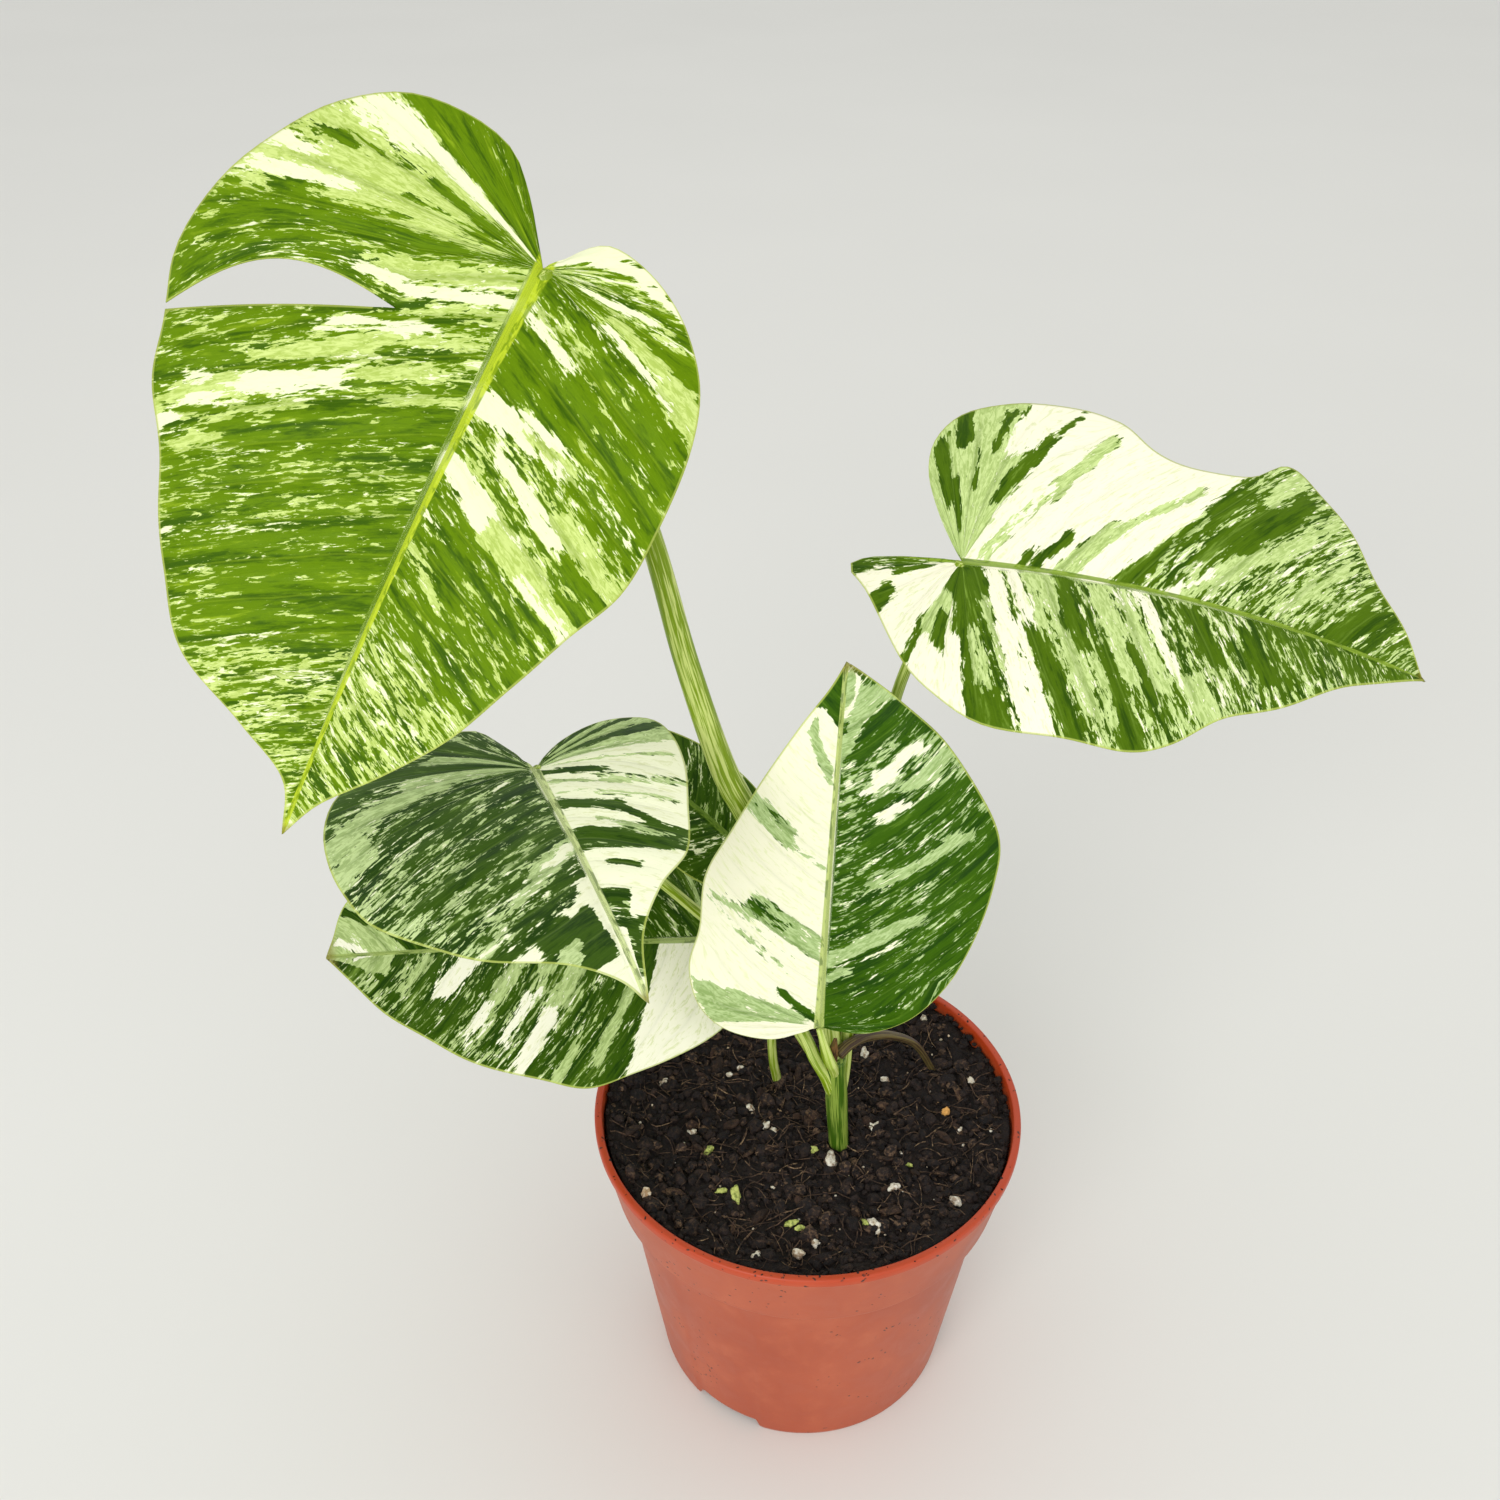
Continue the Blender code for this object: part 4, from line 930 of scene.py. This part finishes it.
def pot_material():
    n = Nodes("pot_plastic")
    at = n.coords()
    broad = n.noise(at, 22.0, 3.0, 0.5)
    mottle = n.noise(at, 95.0, 4.0, 0.6)
    flowline = n.noise(n.vmul(at, (1.0, 1.0, 0.12)), 160.0, 3.0, 0.6)
    color = n.mix(n.ramp(broad, 0.35, 0.65), (164, 68, 32), (174, 78, 42))
    color = n.tint(color, mottle, 0.45, 0.75, 0.35, (197, 112, 80))
    color = n.tint(color, flowline, 0.55, 0.8, 0.18, (160, 68, 40))
    height = n.new("ShaderNodeSeparateXYZ")
    n.put(height.inputs[0], at)
    z = height.outputs[2]
    # the thin lip lets light through and looks more orange
    lip = n.ramp(z, 0.0975, 0.1012)
    color = n.mix(n.times(lip, 0.75), color, (184, 58, 14))
    # scuffs, and soil crumbs stuck to the wall, thicker near the rim and the foot
    jitter = n.vmul(n.noise(at, 300.0, 2.0, 0.5, color=True), (0.003, 0.003, 0.003))
    dirt = n.voronoi(n.vadd(at, jitter), 420.0)
    sparse = n.noise(at, 45.0, 3.0, 0.6)
    low = n.ramp(z, 0.018, 0.0)
    lots = n.plus(n.times(lip, 0.14), n.times(low, 0.06))
    dirt_mask = n.times(n.ramp(dirt, 0.20, 0.12), n.ramp(n.plus(sparse, lots), 0.57, 0.61))
    color = n.mix(n.times(dirt_mask, 0.9), color, (48, 28, 20))
    scuff = n.noise(n.vmul(at, (1.0, 1.0, 0.25)), 380.0, 2.0, 0.5)
    scuff_mask = n.times(n.ramp(scuff, 0.72, 0.76), n.ramp(broad, 0.5, 0.6))
    color = n.mix(n.times(scuff_mask, 0.35), color, (150, 74, 52))
    rough = n.ramp(mottle, 0.3, 0.7, 0.38, 0.50)
    relief = n.math("MULTIPLY_ADD", mottle, 0.5, n.times(flowline, 0.5))
    relief = n.plus(relief, dirt_mask)
    return n.finish(color, rough, n.bump(relief, 0.22, 0.0004), Specular_IOR_Level=0.45)


# ---------------------------------------------------------------- soil
def soil_material(name, dark, mid, light):
    n = Nodes(name)
    at = n.coords()
    a = n.noise(at, 260.0, 4.0, 0.65)
    b = n.noise(at, 900.0, 3.0, 0.6)
    tone = n.attribute("tone")
    color = n.mix(n.times(n.ramp(a, 0.40, 0.60), n.ramp(tone, -0.3, 0.6)), dark, mid)
    color = n.mix(n.times(n.ramp(b, 0.45, 0.7), n.ramp(tone, 0.3, 1.0, 0.15, 0.9)), color, light)
    grain = n.math("MULTIPLY_ADD", b, 0.6, a)
    rough = n.ramp(b, 0.3, 0.7, 0.62, 0.9)
    return n.finish(color, rough, n.bump(grain, 0.8, 0.0014), Specular_IOR_Level=0.25)


# Highest that soil lies, furthest out that loose pieces lie, and the buried outline of the soil
SOIL_LIMIT = 0.1004
LITTER_RADIUS = 0.0605
SOIL_WALL = (
    (0.0610, 0.0905), (0.0580, 0.0802), (0.0543, 0.0778), (0.0450, 0.0078), (0.0443, 0.0062),
    (0.0334, 0.0062), (0.0318, 0.0022),
)


def build_soil():
    """Makes the body of soil and returns the points of its surface."""
    rings, sides = 110, 260

    def ring(i, radius, z):
        shift = 0.5 * (i % 2)
        return [polar(radius, 2 * math.pi * (k + shift) / sides, z) for k in range(sides)]

    def band(a, b):
        return [(a + k, b + k, b + (k + 1) % sides, a + (k + 1) % sides) for k in range(sides)]

    points = [(0.0, 0.0, 0.0)]
    for i in range(1, rings + 1):
        points += ring(i, SOIL_RADIUS * i / rings, 0.0)
    p = np.array(points)
    r = np.hypot(p[:, 0], p[:, 1])
    height = 0.0948 + 0.0008 * (1 - (r / 0.062) ** 2)
    clumps = 0.5 + 0.5 * bump_noise(p, 60, 5)
    height += 0.0011 * bump_noise(p, 90.0, 1) + 0.0012 * bump_noise(p, 210.0, 2) * clumps
    height += 0.0007 * bump_noise(p, 520.0, 3) + 0.0003 * bump_noise(p, 1300.0, 4)
    # banked up against the wall of the pot
    height += (0.0036 + 0.0014 * bump_noise(p, 130.0, 8)) * np.clip((r - 0.050) / 0.010, 0, 1)
    p[:, 2] = np.minimum(height, SOIL_LIMIT)
    faces = [(0, 1 + k, 1 + (k + 1) % sides) for k in range(sides)]
    for i in range(rings - 1):
        faces += band(1 + i * sides, 1 + (i + 1) * sides)
    pts = p.tolist()
    last = 1 + (rings - 1) * sides
    for radius, z in SOIL_WALL:
        faces += band(last, len(pts))
        last = len(pts)
        pts += ring(rings, radius, z)
    pts.append((0, 0, SOIL_WALL[-1][1]))
    faces += [(len(pts) - 1, last + (k + 1) % sides, last + k) for k in range(sides)]
    mix = soil_material("soil_bed_mix", (17, 12, 11), (46, 35, 30), (88, 70, 55))
    settle(make_object("soil_bed", pts, faces, mix), "soil_mix", "potting_soil")
    return p


def icosphere(levels):
    bm = bmesh.new()
    bmesh.ops.create_icosphere(bm, subdivisions=levels, radius=1.0)
    v = np.array([x.co[:] for x in bm.verts])
    f = [tuple(x.index for x in face.verts) for face in bm.faces]
    bm.free()
    return v, f


ICO1 = icosphere(2)
ICO2 = icosphere(3)


def blob(center, size, seed, stretch, ball=ICO1, jag=0.35):
    """A lumpy closed grain as points and faces."""
    v = ball[0] * np.array(stretch)
    v = v * (1 + jag * bump_noise(ball[0], 1.7, seed))[:, None]
    axis = unit(RNG.normal(size=3))
    angle = RNG.uniform(0, 2 * np.pi)
    k = np.array(((0, -axis[2], axis[1]), (axis[2], 0, -axis[0]), (-axis[1], axis[0], 0)))
    turn = np.eye(3) + np.sin(angle) * k + (1 - np.cos(angle)) * (k @ k)
    return v @ turn.T * size + np.array(center), ball[1]


class Pile:
    """Collects many small closed bodies into one object."""

    def __init__(self):
        self.points, self.faces, self.tones, self.count = [], [], [], 0

    def add(self, points, faces, tone=None):
        self.points.append(points)
        self.tones.append(np.full(len(points), RNG.uniform() if tone is None else tone))
        self.faces += [tuple(i + self.count for i in f) for f in faces]
        self.count += len(points)

    def make(self, name, material, smooth=True):
        tones = {"tone": np.concatenate(self.tones)}
        heap = make_object(name, np.vstack(self.points), self.faces, material, tones, smooth)
        settle(heap, "soil_mix", "potting_soil")


def soil_height(surface, x, y):
    d = (surface[:, 0] - x) ** 2 + (surface[:, 1] - y) ** 2
    return surface[d.argmin(), 2]


def scatter(surface, count, reach):
    for _ in range(count):
        r = reach * math.sqrt(RNG.uniform(0, 1))
        a = RNG.uniform(0, 2 * math.pi)
        x, y, _ = polar(r, a, 0.0)
        yield x, y, soil_height(surface, x, y)


CRUMB_SIZES = (0.0005, 0.0008, 0.0012, 0.0018, 0.0026)
CRUMB_SHARES = (0.34, 0.30, 0.22, 0.11, 0.03)


def build_litter(surface):
    # grains all over, then some against the wall and on the rim
    crumbs = Pile()
    for i, (x, y, z) in enumerate(scatter(surface, 3400, LITTER_RADIUS)):
        size = RNG.choice(CRUMB_SIZES, p=CRUMB_SHARES)
        crumbs.add(*blob((x, y, z + 0.15 * size), size, i, (1, 0.85, 0.7)), RNG.uniform() ** 2.2)
    for i in range(260):
        a = RNG.uniform(0, 2 * math.pi)
        size = RNG.uniform(0.0004, 0.0013)
        r = 0.0616 - 0.5 * size
        place = polar(r, a, RNG.uniform(0.0975, SOIL_LIMIT))
        crumbs.add(*blob(place, size, i, (1, 0.85, 0.7)), 0.1)
    for i in range(90):
        a = RNG.uniform(0, 2 * math.pi)
        size = RNG.uniform(0.0002, 0.0005)
        r = RNG.uniform(0.0631, 0.0645)
        crumbs.add(*blob(polar(r, a, 0.1018), size, i, (1.2, 1, 0.5)), 0.2)
    mix = soil_material("crumb_mix", (14, 10, 11), (46, 35, 31), (118, 94, 72))
    crumbs.make("soil_crumbs", mix, False)
    bark = Pile()
    for i, (x, y, z) in enumerate(scatter(surface, 90, 0.057)):
        size = RNG.uniform(0.0010, 0.0032)
        bark.add(*blob((x, y, z + 0.0004), size, i + 900, (1.3, 0.6, 0.32), ICO1, 0.3))
    mix = soil_material("bark_mix", (34, 24, 18), (64, 46, 36), (124, 98, 72))
    bark.make("bark_chips", mix, False)
    fibres = Pile()
    for x, y, z in scatter(surface, 620, 0.058):
        a = RNG.uniform(0, 2 * math.pi)
        long = RNG.uniform(0.002, 0.013)
        bend = RNG.normal(0, 0.6)
        tilt = RNG.uniform(0, 0.0016)
        path = []
        for t in np.linspace(-0.5, 0.5, 7):
            px = x + long * t * math.cos(a + bend * t)
            py = y + long * t * math.sin(a + bend * t)
            out = math.hypot(px, py)
            if out > LITTER_RADIUS:
                px, py = px * LITTER_RADIUS / out, py * LITTER_RADIUS / out
            rise = 0.0004 + 0.0012 * (0.25 - t * t) + tilt * (t + 0.5)
            path.append((px, py, soil_height(surface, px, py) + rise))
        points, faces, _ = tube_mesh(path, [RNG.uniform(0.00006, 0.00020)] * 7, 5)
        fibres.add(points, faces, RNG.uniform() ** 1.5)
    mix = soil_material("fibre_mix", (44, 32, 25), (96, 74, 58), (176, 148, 112))
    fibres.make("soil_fibres", mix)


# Pale grains: place on the soil and size, in millimetres, and colour tone
PERLITE = (
    (6.6, -18.8, 1.7, 0.0), (16.5, -3.3, 1.1, 0.0), (20.3, -6.0, 1.0, 0.3), (-35.2, -6.4, 1.1, 0.0),
    (-12.7, -4.9, 1.1, 0.1), (-17.2, 2.4, 1.0, 0.2), (24.6, -28.9, 1.3, 0.1),
    (42.2, -35.4, 1.5, 0.3), (17.8, -41.7, 1.5, 0.2), (-4.1, -51.3, 1.4, 0.5),
    (-15.9, -52.9, 1.2, 0.2), (-47.7, -32.9, 1.3, 0.6), (19.5, 25.0, 1.4, 0.3),
    (40.0, 40.0, 1.3, 0.3), (-20.7, 19.3, 0.9, 0.1), (-24.2, 16.3, 0.8, 0.1),
    (25.2, 14.6, 1.0, 0.2), (43.0, 1.2, 1.2, 1.0), (46.3, -7.6, 0.8, 0.4), (0.8, -47.9, 0.9, 0.2),
    (19.0, -43.6, 0.9, 0.3), (-10.5, -6.5, 0.8, 0.1), (21.6, -4.8, 0.8, 0.4),
    (-28.0, 38.0, 1.2, 0.2), (6.0, 48.0, 1.2, 0.2), (-45.0, 14.0, 1.0, 0.1), (52.0, 12.0, 1.0, 0.2),
)
# Scraps of green leaf, in the same way
SCRAPS = (
    (-30.2, -14.3, 1.9), (-21.6, -32.2, 1.8), (-5.8, -41.7, 1.3), (15.6, -41.0, 1.4),
    (-26.0, -30.0, 1.1), (-3.4, -43.4, 1.1), (30.0, -20.0, 0.8), (0.9, -14.6, 1.5),
)


def build_perlite(surface):
    def placed(x, y, size, seed, stretch, jag):
        x, y, size = x / 1000, y / 1000, size / 800
        z = soil_height(surface, x, y)
        return blob((x, y, z + 0.5 * size), size, seed, stretch, ICO2, jag)

    n = Nodes("perlite_grain")
    at = n.coords()
    a = n.noise(at, 900.0, 3.0, 0.6)
    color = n.mix(n.ramp(a, 0.35, 0.65), (232, 228, 212), (196, 184, 158))
    color = n.tint(color, n.noise(at, 600.0, 2.0, 0.5), 0.50, 0.62, 0.8, (128, 100, 72))
    color = n.mix(n.ramp(n.attribute("tone"), 0.4, 1.0), color, (226, 168, 92))
    rough = n.ramp(a, 0.3, 0.7, 0.7, 0.9)
    material = n.finish(color, rough, n.bump(a, 0.6, 0.0006), Specular_IOR_Level=0.3)
    grains = Pile()
    for i, (x, y, size, tone) in enumerate(PERLITE):
        grains.add(*placed(x, y, size, i + 50, (1.15, 0.9, 0.7), 0.5), tone)
    for i, (x, y, z) in enumerate(scatter(surface, 110, 0.058)):
        size = RNG.uniform(0.00018, 0.00050)
        grain = blob((x, y, z + 0.5 * size), size, i + 150, (1.1, 0.9, 0.8), ICO1, 0.4)
        grains.add(*grain, RNG.uniform(0, 0.7))
    grains.make("perlite_grains", material)
    n = Nodes("green_scrap")
    at = n.coords()
    a = n.noise(at, 800.0, 3.0, 0.6)
    color = n.mix(n.ramp(a, 0.35, 0.6), (110, 124, 40), (196, 204, 110))
    scraps = Pile()
    for i, (x, y, size) in enumerate(SCRAPS):
        scraps.add(*placed(x, y, size, i + 350, (1.2, 0.6, 0.45), 0.45))
    material = n.finish(color, n.ramp(a, 0.3, 0.7, 0.5, 0.7), n.bump(a, 0.5, 0.0005))
    scraps.make("leaf_scraps", material)


# ---------------------------------------------------------------- assemble
def build_plant():
    for name, leaf in LEAVES.items():
        build_leaf(name, leaf, blade_material(f"{name}_skin", leaf))
    green = stalk_material("stalk_green", (122, 150, 14), (200, 214, 122))
    pale = stalk_material("stalk_pale", (150, 176, 56), (204, 218, 128))
    for name, spec in STALKS.items():
        attach = LEAVES[spec["leaf"]]["attach"]
        before = np.array(spec["path"][-1])
        end = np.array(attach) - PETIOLE_GAP * unit(np.array(attach) - before)
        line = smooth_path(spec["path"] + (tuple(end),), 14)
        skin = pale if name == "stalk_front" else green
        piece = name.replace("stalk", "petiole")
        settle(tube(piece, line, spec["radii"], 24, skin, PETIOLE_SHRINK), "green_stalk", name)
    skin = stalk_material("stem_green", (58, 94, 12), (134, 158, 62), 0.2)
    stem = tube("stem", smooth_path(STEM, 16), (0.0029, 0.0033, 0.0031), 24, skin)
    settle(stem, "green_stalk", "main_stem")
    skin = stalk_material("root_brown", (62, 46, 34), (106, 94, 50), 0.35)
    root = tube("root", smooth_path(ROOT, 14), (0.0019, 0.0014, 0.0010), 16, skin)
    settle(root, "brown_root", "aerial_root")


def sheath_material():
    """Dry fibrous skin for the sheath, which keeps its CAD mesh."""
    n = Nodes("sheath_dry")
    ribs = n.noise(n.vmul(n.coords(), (2600.0, 2600.0, 260.0)), 1.0, 3.0, 0.6)
    spots = n.noise(n.coords(), 420.0, 3.0, 0.6)
    color = n.mix(n.ramp(ribs, 0.38, 0.62), (50, 34, 20), (118, 86, 46))
    color = n.mix(n.ramp(spots, 0.50, 0.66), color, (84, 70, 30))
    rough = n.ramp(ribs, 0.3, 0.7, 0.6, 0.8)
    return n.finish(color, rough, n.bump(ribs, 0.6, 0.0004), Specular_IOR_Level=0.2)


# ---------------------------------------------------------------- stage
# The photograph's camera, and degrees that it looks down
CAMERA_PLACE = (-0.0175, -0.3207, 0.4490)
CAMERA_TILT = 34.1
# Softboxes: name, place, width and power; they all point at the middle of the plant
LAMP_TARGET = (0, 0, 0.18)
LAMPS = (
    ("key", (-0.8, -1.7, 1.1), 1.1, 19.5),
    ("fill", (1.3, -1.5, 0.8), 1.4, 5.0),
    ("back", (0.3, 1.5, 1.8), 1.4, 2.0),
)


def build_stage():
    n = Nodes("floor_pale")
    at = n.coords()
    n.finish(n.mix(n.noise(at, 3.0, 2.0, 0.5), (226, 226, 220), (230, 230, 224)), 0.7)
    corners = [(-9, -9, 0), (9, -9, 0), (9, 9, 0), (-9, 9, 0)]
    floor = make_object("floor", corners, [(0, 1, 2, 3)], n.material, smooth=False)
    world = bpy.data.worlds.new("soft_room")
    world.use_nodes = True
    background = world.node_tree.nodes["Background"]
    background.inputs["Color"].default_value = (1.0, 1.0, 1.0, 1.0)
    background.inputs["Strength"].default_value = 0.80
    bpy.context.scene.world = world
    for name, place, size, power in LAMPS:
        light = bpy.data.lights.new(name, "AREA")
        light.energy, light.size = power, size
        lamp = bpy.data.objects.new(name, light)
        lamp.location = place
        aim = Vector(LAMP_TARGET) - Vector(place)
        lamp.rotation_euler = aim.to_track_quat("-Z", "Y").to_euler()
        bpy.context.scene.collection.objects.link(lamp)
    camera_data = bpy.data.cameras.new("camera")
    camera_data.lens, camera_data.sensor_width = 36.0, 36.0
    camera = bpy.data.objects.new("camera", camera_data)
    camera.location = CAMERA_PLACE
    camera.rotation_euler = (math.radians(90 - CAMERA_TILT), 0, 0)
    camera_data.clip_start = 0.01
    bpy.context.scene.collection.objects.link(camera)
    bpy.context.scene.camera = camera
    bpy.context.scene.view_settings.view_transform = "Standard"


build_stage()
build_pot(pot_material())
ground = build_soil()
build_litter(ground)
build_perlite(ground)
build_plant()
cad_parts["papery_sheath"].material_slots[0].material = sheath_material()
